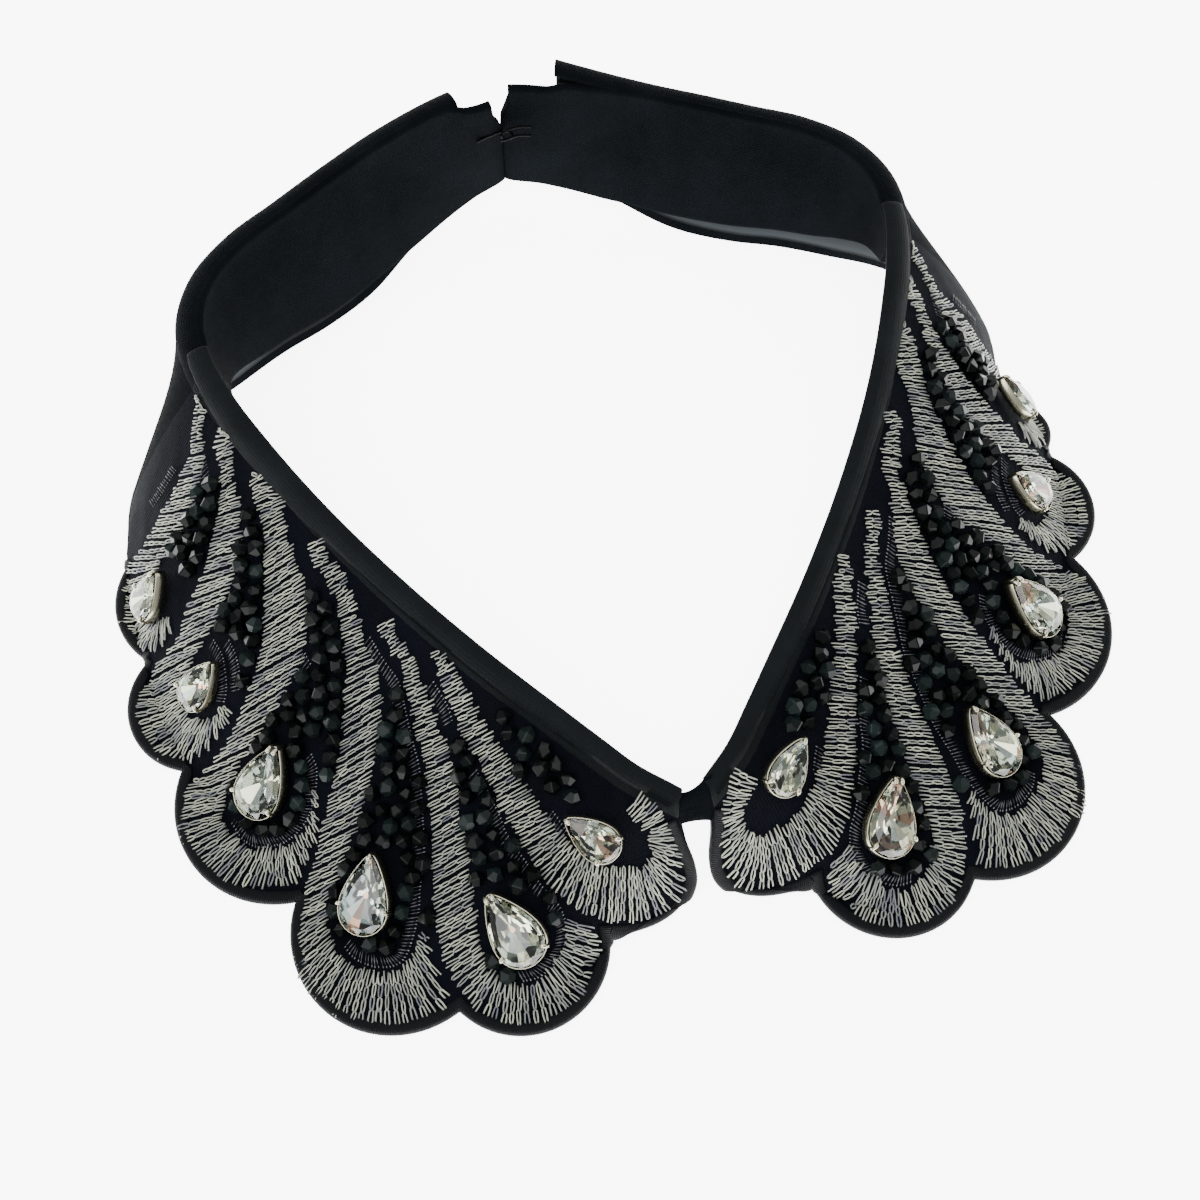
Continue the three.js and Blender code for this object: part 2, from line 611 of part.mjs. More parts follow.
// Flat oval tube across the centre front
function tieGeometry() {
  const long = 3.4;
  const thick = 1.3;
  const oval = [];
  for (let i = 0; i < 14; i += 1) {
    const turn = 2 * Math.PI * i / 14;
    oval.push(new THREE.Vector2(thick * Math.cos(turn), long * Math.sin(turn)));
  }
  const geometry = new THREE.ExtrudeGeometry(new THREE.Shape(oval), { depth: 5.4, bevelEnabled: false });
  geometry.deleteAttribute("normal");
  geometry.deleteAttribute("uv");
  geometry.translate(0, 0, -2.7);
  const middle = onSheet(0, 5.2, LEAF_WALL / 2);
  const down = underside(0, 9).sub(underside(0, 3));
  geometry.rotateY(Math.PI / 2);
  geometry.rotateX(Math.PI / 2 - Math.atan2(-down.z, -down.y));
  geometry.translate(0, middle.y, middle.z);
  return mergeVertices(geometry, 1e-4);
}

const material = (name, colour, roughness, metalness) => {
  const made = new THREE.MeshStandardMaterial({ color: colour, roughness, metalness });
  made.name = name;
  return made;
};
const looks = {
  cloth: () => material("black_cloth", 0x17191a, 0.85, 0),
  leaf: () => material("navy_black_cloth", 0x101219, 0.85, 0),
  thread: () => material("silver_thread", 0xaaa69f, 0.5, 0.2),
  bead: () => material("black_glass_bead", 0x08080a, 0.08, 0),
  crystal: () => material("foiled_crystal", 0xe9ebee, 0.03, 0.3),
  claw: () => material("silver_claw", 0xc9c6bf, 0.25, 1),
  wire: () => material("hook_wire", 0x8d8d8d, 0.3, 1),
};

const collar = new THREE.Group();
collar.name = "detachable_collar";

function put(name, geometry, look, mirrored) {
  const made = geometry.clone();
  made.translate(0, -CENTRE_Y, 0);
  if (mirrored) {
    const position = made.attributes.position;
    for (let i = 0; i < position.count; i += 1) position.setX(i, -position.getX(i));
    const index = made.index.array;
    for (let i = 0; i < index.length; i += 3) {
      const keep = index[i];
      index[i] = index[i + 1];
      index[i + 1] = keep;
    }
  }
  made.computeVertexNormals();
  const mesh = new THREE.Mesh(made, look());
  mesh.name = name;
  collar.add(mesh);
}

function putPair(name, geometry, look) {
  const tail = /_\d$/.exec(name);
  const stem = tail ? name.slice(0, -2) : name;
  const number = tail ? tail[0] : "";
  put(`${stem}_right${number}`, geometry, look, false);
  put(`${stem}_left${number}`, geometry, look, true);
}

putPair("stand", standGeometry(), looks.cloth);
putPair("leaf", leafGeometry(), looks.leaf);
BANDS.forEach((row, i) => putPair(`embroidery_${i + 1}`, bandGeometry(row), looks.thread));
FIELDS.forEach((row, i) => putPair(`bead_field_${i + 1}`, fieldGeometry(row), looks.bead));
STONES.forEach((row, i) => {
  putPair(`setting_${i + 1}`, seated(settingGeometry(row), row), looks.claw);
  putPair(`stone_${i + 1}`, seated(stoneGeometry(row), row), looks.crystal);
});
put("front_tie", tieGeometry(), looks.cloth, false);
put("hook", wire([[-6.4, -4.6, 24], [-3, -3.6, 24], [0.2, -3.2, 24], [1.8, -3.9, 24], [1.9, -4.9, 24],
  [0.6, -5.5, 24], [-1.2, -5.5, 24]]), looks.wire, false);
put("eye", wire([[6.4, -4.6, 25.4], [3, -3.9, 25.4], [0.3, -4.35, 25.3], [-0.6, -4.35, 24],
  [0.3, -4.35, 22.7], [3, -3.9, 22.6], [6.4, -4.6, 22.6]]), looks.wire, false);

export default collar;
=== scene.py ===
import math

import bpy
import mathutils
import numpy as np
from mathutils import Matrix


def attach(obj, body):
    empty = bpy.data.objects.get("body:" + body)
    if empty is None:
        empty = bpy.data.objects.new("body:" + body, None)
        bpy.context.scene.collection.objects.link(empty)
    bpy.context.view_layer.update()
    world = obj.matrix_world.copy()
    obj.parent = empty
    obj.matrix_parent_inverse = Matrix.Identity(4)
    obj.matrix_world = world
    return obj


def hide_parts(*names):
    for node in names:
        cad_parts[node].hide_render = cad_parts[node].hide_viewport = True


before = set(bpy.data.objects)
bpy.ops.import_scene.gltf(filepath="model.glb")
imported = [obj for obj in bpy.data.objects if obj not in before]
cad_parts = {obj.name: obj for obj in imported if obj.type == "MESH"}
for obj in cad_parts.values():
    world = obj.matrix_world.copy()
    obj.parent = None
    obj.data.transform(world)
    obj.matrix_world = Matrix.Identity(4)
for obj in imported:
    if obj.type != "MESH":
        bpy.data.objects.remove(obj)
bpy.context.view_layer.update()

rng = np.random.default_rng(8069)

# Sizes are in mm in the plan frame of the right half: y 0 at the centre back, front at -y.
# s runs along the fold from the front tie, t runs down the sheet.
sheet = {
    "leafWall": 1.8,
    "standWall": 1.6,
    "landing": 0.8,
    "centreY": -94.58,
    "fallEnd": {1: 208.5, -1: 211.5},  # right and left half
    "rimWidth": 2.4,
    "cornerReach": {1: 1.0, -1: 2.2},
    "notchDip": {1: 0.0, -1: 1.8},  # the plain hem steps in behind the last scallop
}

leafTop = sheet["leafWall"]  # how far the leaf's face lies over its underside

# foldX, foldY, foldZ, roll, hemX, hemY, hemZ, bulge, front to back
stations = np.array([
    (3.4, -157.7, 20.0, 1.0, 2.4, -171.0, 2.5, 0.0),
    (9.2, -153.0, 22.0, 1.2, 19.0, -176.5, 1.0, 0.5),
    (14.5, -147.0, 23.8, 1.3, 36.0, -186.0, 0.0, -1.0),
    (20.0, -140.5, 25.5, 1.5, 52.0, -182.0, 0.0, -1.5),
    (32.0, -126.0, 29.0, 1.5, 70.0, -162.5, 0.0, -1.0),
    (44.0, -109.5, 32.0, 1.5, 84.0, -140.5, 0.0, 1.0),
    (55.0, -91.7, 34.0, 2.0, 94.0, -118.0, 0.0, 2.0),
    (63.5, -74.7, 34.5, 2.5, 97.5, -96.0, 0.0, 2.5),
    (68.0, -64.0, 34.5, 3.0, 98.0, -76.5, 0.0, 2.5),
    (71.2, -52.0, 34.5, 3.5, 92.5, -57.0, 0.0, 2.0),
    (71.0, -43.0, 34.5, 4.0, 79.5, -43.8, 0.0, 1.5),
    (67.3, -35.0, 34.5, 4.5, 67.5, -36.8, 0.0, 1.0),
    (60.0, -28.0, 34.5, 4.5, 58.0, -31.8, 0.0, 0.5),
    (50.0, -22.2, 34.5, 4.5, 47.5, -27.5, 0.0, 0.0),
    (38.0, -15.3, 34.5, 4.5, 35.5, -21.3, 1.0, 0.0),
    (26.0, -9.0, 34.5, 4.5, 24.6, -13.2, 3.2, 0.0),
    (13.0, -4.0, 34.5, 4.5, 12.4, -5.4, 5.5, 0.0),
    (2.4, -1.4, 34.5, 4.5, 1.8, -2.2, 6.0, 0.0),
])

# s, footX, footY, footZ of the stand
standFoot = np.array([
    (117, 68.3, -61.5, 30.5),
    (127, 68.5, -52.0, 23.5),
    (136, 66.5, -44.0, 15.5),
    (145, 62.0, -38.0, 10.0),
    (155, 55.5, -33.5, 8.0),
    (167, 46.0, -29.0, 7.0),
    (181, 34.5, -22.3, 6.4),
    (194, 23.5, -14.8, 6.2),
    (208, 12.0, -7.3, 6.0),
    (218.9, 0.7, -1.4, 6.2),
])

# fromX, fromY, toX, toY, depth of each scallop, and a first guess of its s and t
scallops = np.array([
    (2.4, -168.5, 20.3, -176.3, 4.6, 3, 30),
    (20.3, -176.3, 50.8, -183.5, 11.2, 13, 52),
    (50.8, -183.5, 76.6, -155.6, 13.8, 36, 72),
    (76.6, -155.6, 94.0, -124.1, 10.3, 65, 70),
    (94.0, -124.1, 97.2, -99.3, 7.4, 90, 62),
    (97.2, -99.3, 98.2, -76.3, 4.8, 108, 52),
])

# s, t of the first lobe's edge, from the leaf's front edge round to the first notch
lobeOne = np.array([
    (-0.3, 11.0),
    (-0.5, 15.0),
    (-0.4, 19.0),
    (-0.1, 22.0),
    (0.5, 24.8),
    (1.3, 27.6),
    (2.3, 30.0),
    (3.6, 31.8),
    (5.2, 33.0),
    (6.8, 33.8),
    (8.4, 34.2),
])


# Cubic pieces between the rows of a table, from the slope at each row
def cubic(at, rows, slope, x):
    x = np.asarray(x, float)
    i = np.clip(np.searchsorted(at, x) - 1, 0, len(at) - 2)
    span = np.diff(at)[i][..., None]
    w = (x - at[i])[..., None] / span
    start = (2 * w**3 - 3 * w**2 + 1) * rows[i] + (w**3 - 2 * w**2 + w) * span * slope[i]
    return start + (3 * w**2 - 2 * w**3) * rows[i + 1] + (w**3 - w**2) * span * slope[i + 1]


# A row's slope is the mean of the two beside it, each weighted by the other one's step
def smoothTable(at, rows, x):
    steps = np.diff(at)
    rise = np.diff(rows, axis=0) / steps[:, None]
    middle = rise[:-1] * steps[1:, None] + rise[1:] * steps[:-1, None]
    middle = middle / (steps[:-1] + steps[1:])[:, None]
    return cubic(at, rows, np.vstack([rise[:1], middle, rise[-1:]]), x)


# Here it is their harmonic mean, so that the curve never passes a row and comes back
def evenTable(at, rows, x):
    rise = np.diff(rows, axis=0) / np.diff(at)[:, None]
    both = rise[:-1] + rise[1:]
    same = rise[:-1] * rise[1:] > 0
    middle = np.where(same, 2 * rise[:-1] * rise[1:] / np.where(same, both, 1), 0)
    return cubic(at, rows, np.vstack([rise[:1], middle, rise[-1:]]), x)


# Length walked along a line of points, up to each one
def walkedTo(path):
    return np.concatenate([[0], np.cumsum(np.linalg.norm(np.diff(path, axis=0), axis=1))])


stationAt = walkedTo(stations[:, :2])


# The station table read at any length along the fold
def station(s):
    return smoothTable(stationAt, stations, s)


def unit(v):
    return v / np.maximum(np.linalg.norm(v, axis=-1, keepdims=True), 1e-9)


# Plan direction out of the neck: the fold's own direction turned by a right angle
def outward(s):
    along = unit((station(s + 0.2) - station(s - 0.2))[..., :2])
    return np.stack([along[..., 1], -along[..., 0], np.zeros_like(along[..., 0])], -1)


# Height over the table: a parabola joins the slope to the flat part
def land(z):
    e = sheet["landing"]
    return np.where(z > e, z, np.where(z < -e, 0, (z + e) ** 2 / (4 * e)))


# How the sheet leaves the fold at s: a quarter circle of radius roll, then straight down to the hem
def profile(s):
    row = station(s)
    out = outward(s)
    fold = row[..., :3]
    roll = row[..., 3:4]
    rollEnd = fold + out * roll - np.concatenate([roll * 0, roll * 0, roll], -1)
    down = row[..., 4:7] - rollEnd
    return row, out, fold, rollEnd, row[..., 3] * math.pi / 2, np.linalg.norm(down, axis=-1), unit(down)


# From the fold to the hem: the arc's length and the slope's
def fullDepth(s):
    arc, slope = profile(s)[4:6]
    return arc + slope


# Underside: a quarter circle of radius roll at the fold, then a slope with a parabola's bulge
def underside(s, t):
    s, t = np.broadcast_arrays(np.asarray(s, float), np.asarray(t, float))
    row, out, fold, rollEnd, arc, slope, down = profile(s)
    roll = row[..., 3]
    turn = np.maximum(t, 0) / roll
    rolled = fold + out * (roll * np.sin(turn))[..., None]
    rolled[..., 2] += roll * (np.cos(turn) - 1)
    flat = rollEnd + down * (t - arc)[..., None]
    share = np.clip((t - arc) / slope, 0, 1)
    flat[..., 2] = land(flat[..., 2] + row[..., 7] * 4 * share * (1 - share))
    return np.where((t < arc)[..., None], rolled, flat)


# Slopes of the underside over a small step each way along s and t, and the normal square to both
def directions(s, t):
    step = 0.3
    ds = (underside(s + step, t) - underside(s - step, t)) / (2 * step)
    low = np.maximum(t - step, 0)
    dt = (underside(s, t + step) - underside(s, low)) / (t + step - low)[..., None]
    return ds, dt, unit(np.cross(dt, ds))


# Point a given height over the underside. Above the fold, t below 0 runs round the sheet's edge.
def onSheet(s, t, lift):
    s, t, lift = np.broadcast_arrays(*(np.asarray(v, float) for v in (s, t, lift)))
    over = np.maximum(t, 0)
    point = underside(s, over) + directions(s, over)[2] * lift[..., None]
    point[..., 2] = np.maximum(point[..., 2], 0)
    half = sheet["leafWall"] / 2
    radius = np.maximum(lift - half, 0.05)
    turn = np.maximum(-t, 0) / radius
    edge = underside(s, over) - outward(s) * (radius * np.sin(turn))[..., None]
    edge[..., 2] += half + radius * np.cos(turn)
    return np.where((t < 0)[..., None], edge, point)


# The leaf's front corner reaches on to the tie, and its very edge is turned round
def corner(s, t, side):
    near = np.exp(-np.maximum(s, 0) / 3)
    reach = sheet["cornerReach"][side] * np.exp(-np.maximum(t, 0) / 5)
    return s + near * (0.9 * np.exp(-(t + 1.3) / 1.2) - reach)


# The (s, t) above plan points, by 30 damped corrections from a first guess
def locate(x, y, s, t):
    x, y = np.asarray(x, float), np.asarray(y, float)
    s, t = np.full(x.shape, float(s)), np.full(x.shape, float(t))
    for _ in range(30):
        point = underside(s, t)
        ds, dt, _ = directions(s, t)
        missX, missY = x - point[..., 0], y - point[..., 1]
        det = ds[..., 0] * dt[..., 1] - ds[..., 1] * dt[..., 0]
        s = s + 0.7 * (missX * dt[..., 1] - missY * dt[..., 0]) / det
        t = t + 0.7 * (ds[..., 0] * missY - ds[..., 1] * missX) / det
        s = np.maximum(s, -1)
    return s, t


# Plan points of a scallop's circular arc at shares of its sweep
def scallopArc(row, share):
    start, end, depth = row[:2], row[2:4], row[4]
    half = np.linalg.norm(end - start) / 2
    radius = (half**2 + depth**2) / (2 * depth)
    along = unit(end - start)
    out = np.array([along[1], -along[0]])
    centre = (start + end) / 2 + out * (depth - radius)
    turn = math.atan2(half, radius - depth) * (2 * np.asarray(share, float) - 1)
    return centre + radius * (np.sin(turn)[..., None] * along + np.cos(turn)[..., None] * out)


pieces, standsFor = {}, {}
halves = ((1, "right"), (-1, "left"))


# Quads of a grid whose points are numbered row by row
def gridFaces(rows, columns, closeRows=False, closeColumns=False):
    i = np.arange(rows if closeRows else rows - 1)[:, None]
    j = np.arange(columns if closeColumns else columns - 1)[None, :]
    nextI, nextJ = (i + 1) % rows, (j + 1) % columns
    corners = [i * columns + j, nextI * columns + j, nextI * columns + nextJ, i * columns + nextJ]
    return np.stack(np.broadcast_arrays(*corners), -1).reshape(-1, 4)


# A skin that runs right round in its columns, with a cap on each end; turned swaps inside and outside
def skinFaces(rows, columns, turned=False):
    cap = np.arange(columns)[None, :]
    faces = [gridFaces(rows, columns, closeColumns=True), cap, (rows - 1) * columns + cap[:, ::-1]]
    return [f[:, ::-1] for f in faces] if turned else faces


# Smooth step from 0 to 1 that begins at start and ends a width later
def ease(x, start, width):
    share = np.clip((x - start) / width, 0, 1)
    return share * share * (3 - 2 * share)


# The right half's last scallop lies drawn in: a bell along y times the square of the way out
drawnIn = {"y": -81.0, "front": 9.0, "back": 14.0, "from": 74.0, "over": 24.0, "inward": 4.5}


def settle(points):
    x, y = points[:, 0], points[:, 1] - drawnIn["y"]
    bell = np.exp(-(y / np.where(y < 0, drawnIn["front"], drawnIn["back"])) ** 2)
    out = np.clip((x - drawnIn["from"]) / drawnIn["over"], 0, 1.2) ** 2
    return points - np.column_stack([drawnIn["inward"] * bell * out, 0 * x, 0 * x])


# One mesh object; side -1 mirrors the right half's points and turns the faces to match
def makePiece(name, points, faces, side, material, uv=None, marks=None, smooth=True, node=None):
    points = np.asarray(points, float).reshape(-1, 3)
    points = (settle(points) if side > 0 else points) * (side, 1, 1)
    points = (points - (0, sheet["centreY"], 0)) / 1000
    faces = [f if side > 0 else f[:, ::-1] for f in (faces if isinstance(faces, list) else [faces])]
    corners = np.concatenate([f.ravel() for f in faces])
    sizes = np.concatenate([np.full(len(f), f.shape[1]) for f in faces])
    mesh = bpy.data.meshes.new(name)
    mesh.vertices.add(len(points))
    mesh.vertices.foreach_set("co", points.astype(np.float32).ravel())
    mesh.loops.add(len(corners))
    mesh.loops.foreach_set("vertex_index", corners.astype(np.int32))
    mesh.polygons.add(len(sizes))
    mesh.polygons.foreach_set("loop_start", np.concatenate([[0], np.cumsum(sizes)[:-1]]).astype(np.int32))
    mesh.update(calc_edges=True)
    mesh.polygons.foreach_set("use_smooth", np.full(len(sizes), smooth))
    if uv is not None:
        layer = mesh.uv_layers.new(name="UVMap")
        layer.data.foreach_set("uv", np.asarray(uv, float).reshape(-1, 2)[corners].astype(np.float32).ravel())
    for key, values in (marks or {}).items():
        mark = mesh.attributes.new(key, "FLOAT", "POINT")
        mark.data.foreach_set("value", np.asarray(values, float).ravel().astype(np.float32))
    mesh.materials.append(material)
    mesh.validate()
    made = bpy.data.objects.new(name, mesh)
    bpy.context.scene.collection.objects.link(made)
    pieces[name] = made
    if node:
        standsFor[name] = node
    return made


# Copies of one small shape: each is scaled, set along its own axes and moved to its place
def scatter(shape, faces, places, axes, sizes):
    sizes = np.broadcast_to(np.asarray(sizes, float), (len(places), 3))
    copies = np.einsum("nk,mk,mkc->mnc", shape, sizes, axes) + places[:, None, :]
    turned = faces[None, :, :] + (np.arange(len(places)) * len(shape))[:, None, None]
    return copies.reshape(-1, 3), turned.reshape(-1, faces.shape[1])


# Tube round a path: rings of points in the plane across it
def tube(path, radius, sides=8, closed=False):
    path = np.asarray(path, float)
    ahead = np.roll(path, -1, 0) if closed else np.vstack([path[1:], 2 * path[-1] - path[-2]])
    behind = np.roll(path, 1, 0) if closed else np.vstack([2 * path[0] - path[1], path[:-1]])
    along = unit(ahead - behind)
    first = unit(np.cross(along, np.where(np.abs(along[:, 2:3]) < 0.9, [0.0, 0.0, 1.0], [1.0, 0.0, 0.0])))
    second = np.cross(along, first)
    turn = 2 * math.pi * np.arange(sides) / sides
    ring = np.cos(turn)[None, :, None] * first[:, None, :] + np.sin(turn)[None, :, None] * second[:, None, :]
    radius = np.broadcast_to(np.asarray(radius, float), (len(path),))
    points = path[:, None, :] + ring * radius[:, None, None]
    if closed:
        faces = gridFaces(len(path), sides, closeRows=True, closeColumns=True)[:, ::-1]
        return points.reshape(-1, 3), [faces]
    return points.reshape(-1, 3), skinFaces(len(path), sides, turned=True)


# A curve through points, its pace between two of them the 0.7th power of their distance
def smoothPath(points, count):
    points = np.asarray(points, float)
    at = np.concatenate([[0], np.cumsum(np.linalg.norm(np.diff(points, axis=0), axis=1) ** 0.7)])
    return smoothTable(at, points, np.linspace(0, at[-1], count))


# Hem in (s, t) with the fold's s that belongs to each point: scallop arcs, then the plain fall
def hemLine(perScallop, plainSteps, side):
    s, t, foldS = [], [], []
    first = 0.0
    for number, row in enumerate(scallops):
        share = np.linspace(0, 1, perScallop + 1)
        if number == 0:
            a, b = smoothTable(np.arange(len(lobeOne)), lobeOne, share * (len(lobeOne) - 1)).T
        else:
            arc = scallopArc(row, share)
            a, b = locate(arc[:, 0], arc[:, 1], row[5], row[6])
        keep = slice(0 if not s else 1, None)
        s.append(a[keep])
        t.append(b[keep])
        foldS.append((first + (a[-1] - first) * share)[keep])
        first = a[-1]
    plain = np.linspace(first, sheet["fallEnd"][side], plainSteps + 1)[1:]
    behind = plain - first
    dip = sheet["notchDip"][side] * np.clip(behind / 2, 0, 1) * (1 - np.clip((behind - 9) / 8, 0, 1) ** 2)
    s.append(plain)
    t.append(fullDepth(plain) - dip)
    foldS.append(plain)
    return np.concatenate(s), np.concatenate(t), np.concatenate(foldS)


# sRGB hex to the linear value that a shader takes
def linear(code):
    parts = np.array([int(code[i:i + 2], 16) for i in (1, 3, 5)]) / 255
    values = np.where(parts <= 0.04045, parts / 12.92, ((parts + 0.055) / 1.055) ** 2.4)
    return (*values.tolist(), 1.0)


# Settings are the shader's own inputs; a text is a colour in sRGB hex
def newMaterial(name, settings):
    made = bpy.data.materials.new(name)
    made.use_nodes = True
    tree = made.node_tree
    shader = tree.nodes["Principled BSDF"]
    for key, value in settings.items():
        shader.inputs[key].default_value = linear(value) if isinstance(value, str) else value
    return made, tree, shader


def addNode(tree, kind, place, inputs=None, **settings):
    node = tree.nodes.new(kind)
    node.location = place
    for key, value in settings.items():
        setattr(node, key, value)
    for key, value in (inputs or {}).items():
        if isinstance(value, bpy.types.NodeSocket):
            tree.links.new(value, node.inputs[key])
        else:
            node.inputs[key].default_value = value
    return node


# Base colour from an attribute: the place of each colour on the ramp, and its sRGB hex
def markedMaterial(name, attribute, colours, settings, steps=False):
    made, tree, shader = newMaterial(name, settings)
    mark = addNode(tree, "ShaderNodeAttribute", (-700, 100), attribute_name=attribute)
    ramp = addNode(tree, "ShaderNodeValToRGB", (-480, 100), {"Fac": mark.outputs["Fac"]})
    fillRamp(ramp.color_ramp, colours)
    ramp.color_ramp.interpolation = "CONSTANT" if steps else "LINEAR"
    tree.links.new(ramp.outputs[0], shader.inputs["Base Color"])
    return made


def fillRamp(ramp, colours):
    for element, place in zip(ramp.elements, (min(colours), max(colours))):
        element.position = place
    for place in sorted(colours)[1:-1]:
        ramp.elements.new(place)
    for element in ramp.elements:
        nearest = min(colours, key=lambda place: abs(place - element.position))
        element.color = linear(colours[nearest])


# Height of threads: the sine of a UV axis, one wave per spacing in mm
def threadWave(tree, parts, axis, spacing):
    turns = addNode(tree, "ShaderNodeMath", (-740, 0), {0: parts.outputs[axis],
        1: 2 * math.pi / spacing}, operation="MULTIPLY")
    return addNode(tree, "ShaderNodeMath", (-580, 0), {0: turns.outputs[0]}, operation="SINE")


# Cloth: a base colour varied a little by noise, and a bump of crossed threads from the UV map in mm
def clothMaterial(name, base, lighter, threads, depth, sheen, gloss):
    made, tree, shader = newMaterial(name, {"Roughness": 0.82, "Specular IOR Level": gloss,
        "Sheen Weight": sheen, "Sheen Roughness": 0.4})
    uv = addNode(tree, "ShaderNodeUVMap", (-1100, 0), uv_map="UVMap")
    parts = addNode(tree, "ShaderNodeSeparateXYZ", (-920, 0), {"Vector": uv.outputs[0]})
    waves = [threadWave(tree, parts, axis, spacing) for axis, spacing in zip("XY", threads)]
    weave = addNode(tree, "ShaderNodeMath", (-420, -60), {0: waves[0].outputs[0], 1: waves[1].outputs[0]},
        operation="ADD")
    bump = addNode(tree, "ShaderNodeBump", (-240, -200), {"Height": weave.outputs[0], "Strength": depth,
        "Distance": 0.0001})
    tree.links.new(bump.outputs[0], shader.inputs["Normal"])
    noise = addNode(tree, "ShaderNodeTexNoise", (-740, 260), {"Vector": uv.outputs[0], "Scale": 0.06,
        "Detail": 6.0, "Roughness": 0.65})
    ramp = addNode(tree, "ShaderNodeValToRGB", (-520, 260), {"Fac": noise.outputs[0]})
    fillRamp(ramp.color_ramp, {0.35: base, 0.7: lighter})
    tree.links.new(ramp.outputs[0], shader.inputs["Base Color"])
    return made


# Charcoal-black wool-look suiting, closely woven: matt, a shade lighter and darker from place to place
charcoalCloth = clothMaterial("charcoal_suiting_plain_weave", "#06080a", "#0b0e11", (0.42, 0.42), 0.5, 0.0,
    0.01)
# Navy-black ribbed faille ground: darker, with a very fine rib across it
navyCloth = clothMaterial("navy_black_faille_rib", "#040509", "#070910", (0.5, 0.5), 0.5, 0.0, 0.03)

# Lining satin inside the plain fall: a light line between the stand's foot and the hem, partly the lining's
# own grey and partly painted sheen that fades to the charcoal's colour
liningSheenCloth = markedMaterial("grey_lining_satin_painted_sheen", "liningSheen", {0.0: "#06080a", 1.0: "#2a2e31"},
    {"Roughness": 0.6, "Specular IOR Level": 0.05})
# first and last s of the painted sheen line, and how far it stays above the hem, per side
liningSheenSize = {1: (119.0, 198.0, 2.4), -1: (130.0, 152.0, 2.2)}

# Leaf: the embroidered half that runs into the plain fall behind the shoulder
leafSize = {"perScallop": 34, "plainSteps": 90, "rows": 64, "pucker": 0.10, "plainFrom": 122.0,
    "puckerTo": 120, "looseEnd": 24, "flare": {1: (1.9, 2.6), -1: (0.0, 0.3)}}


# Round the leaf: its cut edge at the fold, the face down to the hem, and the underside back up
def leafShell(side):
    s, t, foldS = hemLine(leafSize["perScallop"], leafSize["plainSteps"], side)
    w = np.linspace(0, 1, leafSize["rows"])
    w = w - 0.07 * np.sin(2 * math.pi * w)  # closer rows at the fold and the hem
    gridS = foldS[:, None] + (s - foldS)[:, None] * w
    gridT = t[:, None] * w
    ripple = leafSize["pucker"] * np.sin(gridS * 0.9 + np.sin(gridT * 0.35)) * np.sin(gridT * 0.5 + 0.6)
    ripple = ripple * np.clip((gridT - 7) / 4, 0, 1)
    wall = sheet["leafWall"]
    top = onSheet(corner(gridS, gridT, side), gridT, wall + ripple * (gridS < leafSize["puckerTo"]))
    edgeT = -np.linspace(0.12, 0.88, 6)[::-1] * math.pi * wall / 2  # round the cut edge at the fold
    edge = onSheet(corner(foldS[:, None], edgeT[None, :], side), edgeT[None, :], wall)
    under = underside(corner(gridS, gridT, side), gridT)
    points = np.concatenate([edge, top, under[:, ::-1]], 1)
    spread = np.concatenate([edgeT[None, :] + 0 * s[:, None], gridT, gridT[:, ::-1]], 1)
    along = np.concatenate([foldS[:, None] + 0 * edgeT[None, :], gridS, gridS[:, ::-1]], 1)
    # The fall's loose end stands away from the stand, more and more towards its end
    long = leafSize["looseEnd"]
    loose = np.clip((along - sheet["fallEnd"][side] + long) / long, 0, 1) ** 2
    points[..., 1:] += loose[..., None] * np.array(leafSize["flare"][side])
    # Painted sheen on the lining: grey just above the hem in the middle of its span, fading along s and up
    # the underside
    first, last, hem = liningSheenSize[side]
    window = np.sin(math.pi * np.clip((gridS - first) / (last - first), 0, 1)) ** 0.7
    above = t[:, None] - gridT - hem
    above = np.clip(above / 0.5, 0, 1) * np.exp(-np.maximum(above - 1, 0) / 3)
    liningSheen = np.concatenate([0 * edge[..., 0], 0 * gridT, (window * above)[:, ::-1]], 1)
    return points, skinFaces(*points.shape[:2], turned=True), np.stack([along, spread], -1), liningSheen


for side, word in halves:
    points, faces, uv, liningSheen = leafShell(side)
    made = makePiece(f"leaf_cloth_{word}", points, faces, side, navyCloth, uv, {"liningSheen": liningSheen},
        node=f"leaf_{word}")
    made.data.materials.append(charcoalCloth)
    made.data.materials.append(liningSheenCloth)
    plain = np.concatenate([uv[..., 0].ravel()[f].mean(1) > leafSize["plainFrom"] for f in faces])
    # faces under the painted lining sheen take the lining material
    liningSheenFaces = np.concatenate([liningSheen.ravel()[f].mean(1) > 0 for f in faces])
    made.data.polygons.foreach_set("material_index", np.where(liningSheenFaces, 2, plain).astype(np.int32))
print("leaves made", flush=True)

# Stand: the leaning neckband, with its upper edge rolled over on to the fall
standSize = {"columns": 150, "rows": 44, "start": 117.0, "end": 218.9, "rollRadius": 1.05, "endDrop": 1.8,
    "endShift": {1: 1.2, -1: -2.2}, "footRise": {1: 1.6, -1: 0.0}}


# Behind the fall's end the stand's top sinks by a smooth step, and its last part moves back or forward
def standDrop(s, side):
    sink = ease(s, sheet["fallEnd"][side] - 2.5, 5)[..., None]
    shift = ease(s, 205, 13)[..., None]
    return sink * [0, 0, -standSize["endDrop"]] + shift * [0, standSize["endShift"][side], 0]


# Straight from the head to the foot, pushed out under the roll of the leaf by a share that fades downwards
def standGrid(s, share, side):
    row = station(s)
    foot = smoothTable(standFoot[:, 0], standFoot[:, 1:], s)
    rise = np.sin(math.pi * np.clip((s - 124) / 74, 0, 1))
    foot[..., 2] += standSize["footRise"][side] * rise
    head = row[..., :3] - [0, 0, 0.9]
    tuck = 0.98 * np.exp(-share * np.linalg.norm(foot - head, axis=-1) / 6)  # up to the roll, with no groove
    place = head + (foot - head) * share[..., None] - outward(s) * tuck[..., None]
    return place + standDrop(s, side) * ((1 - share) ** 2)[..., None]


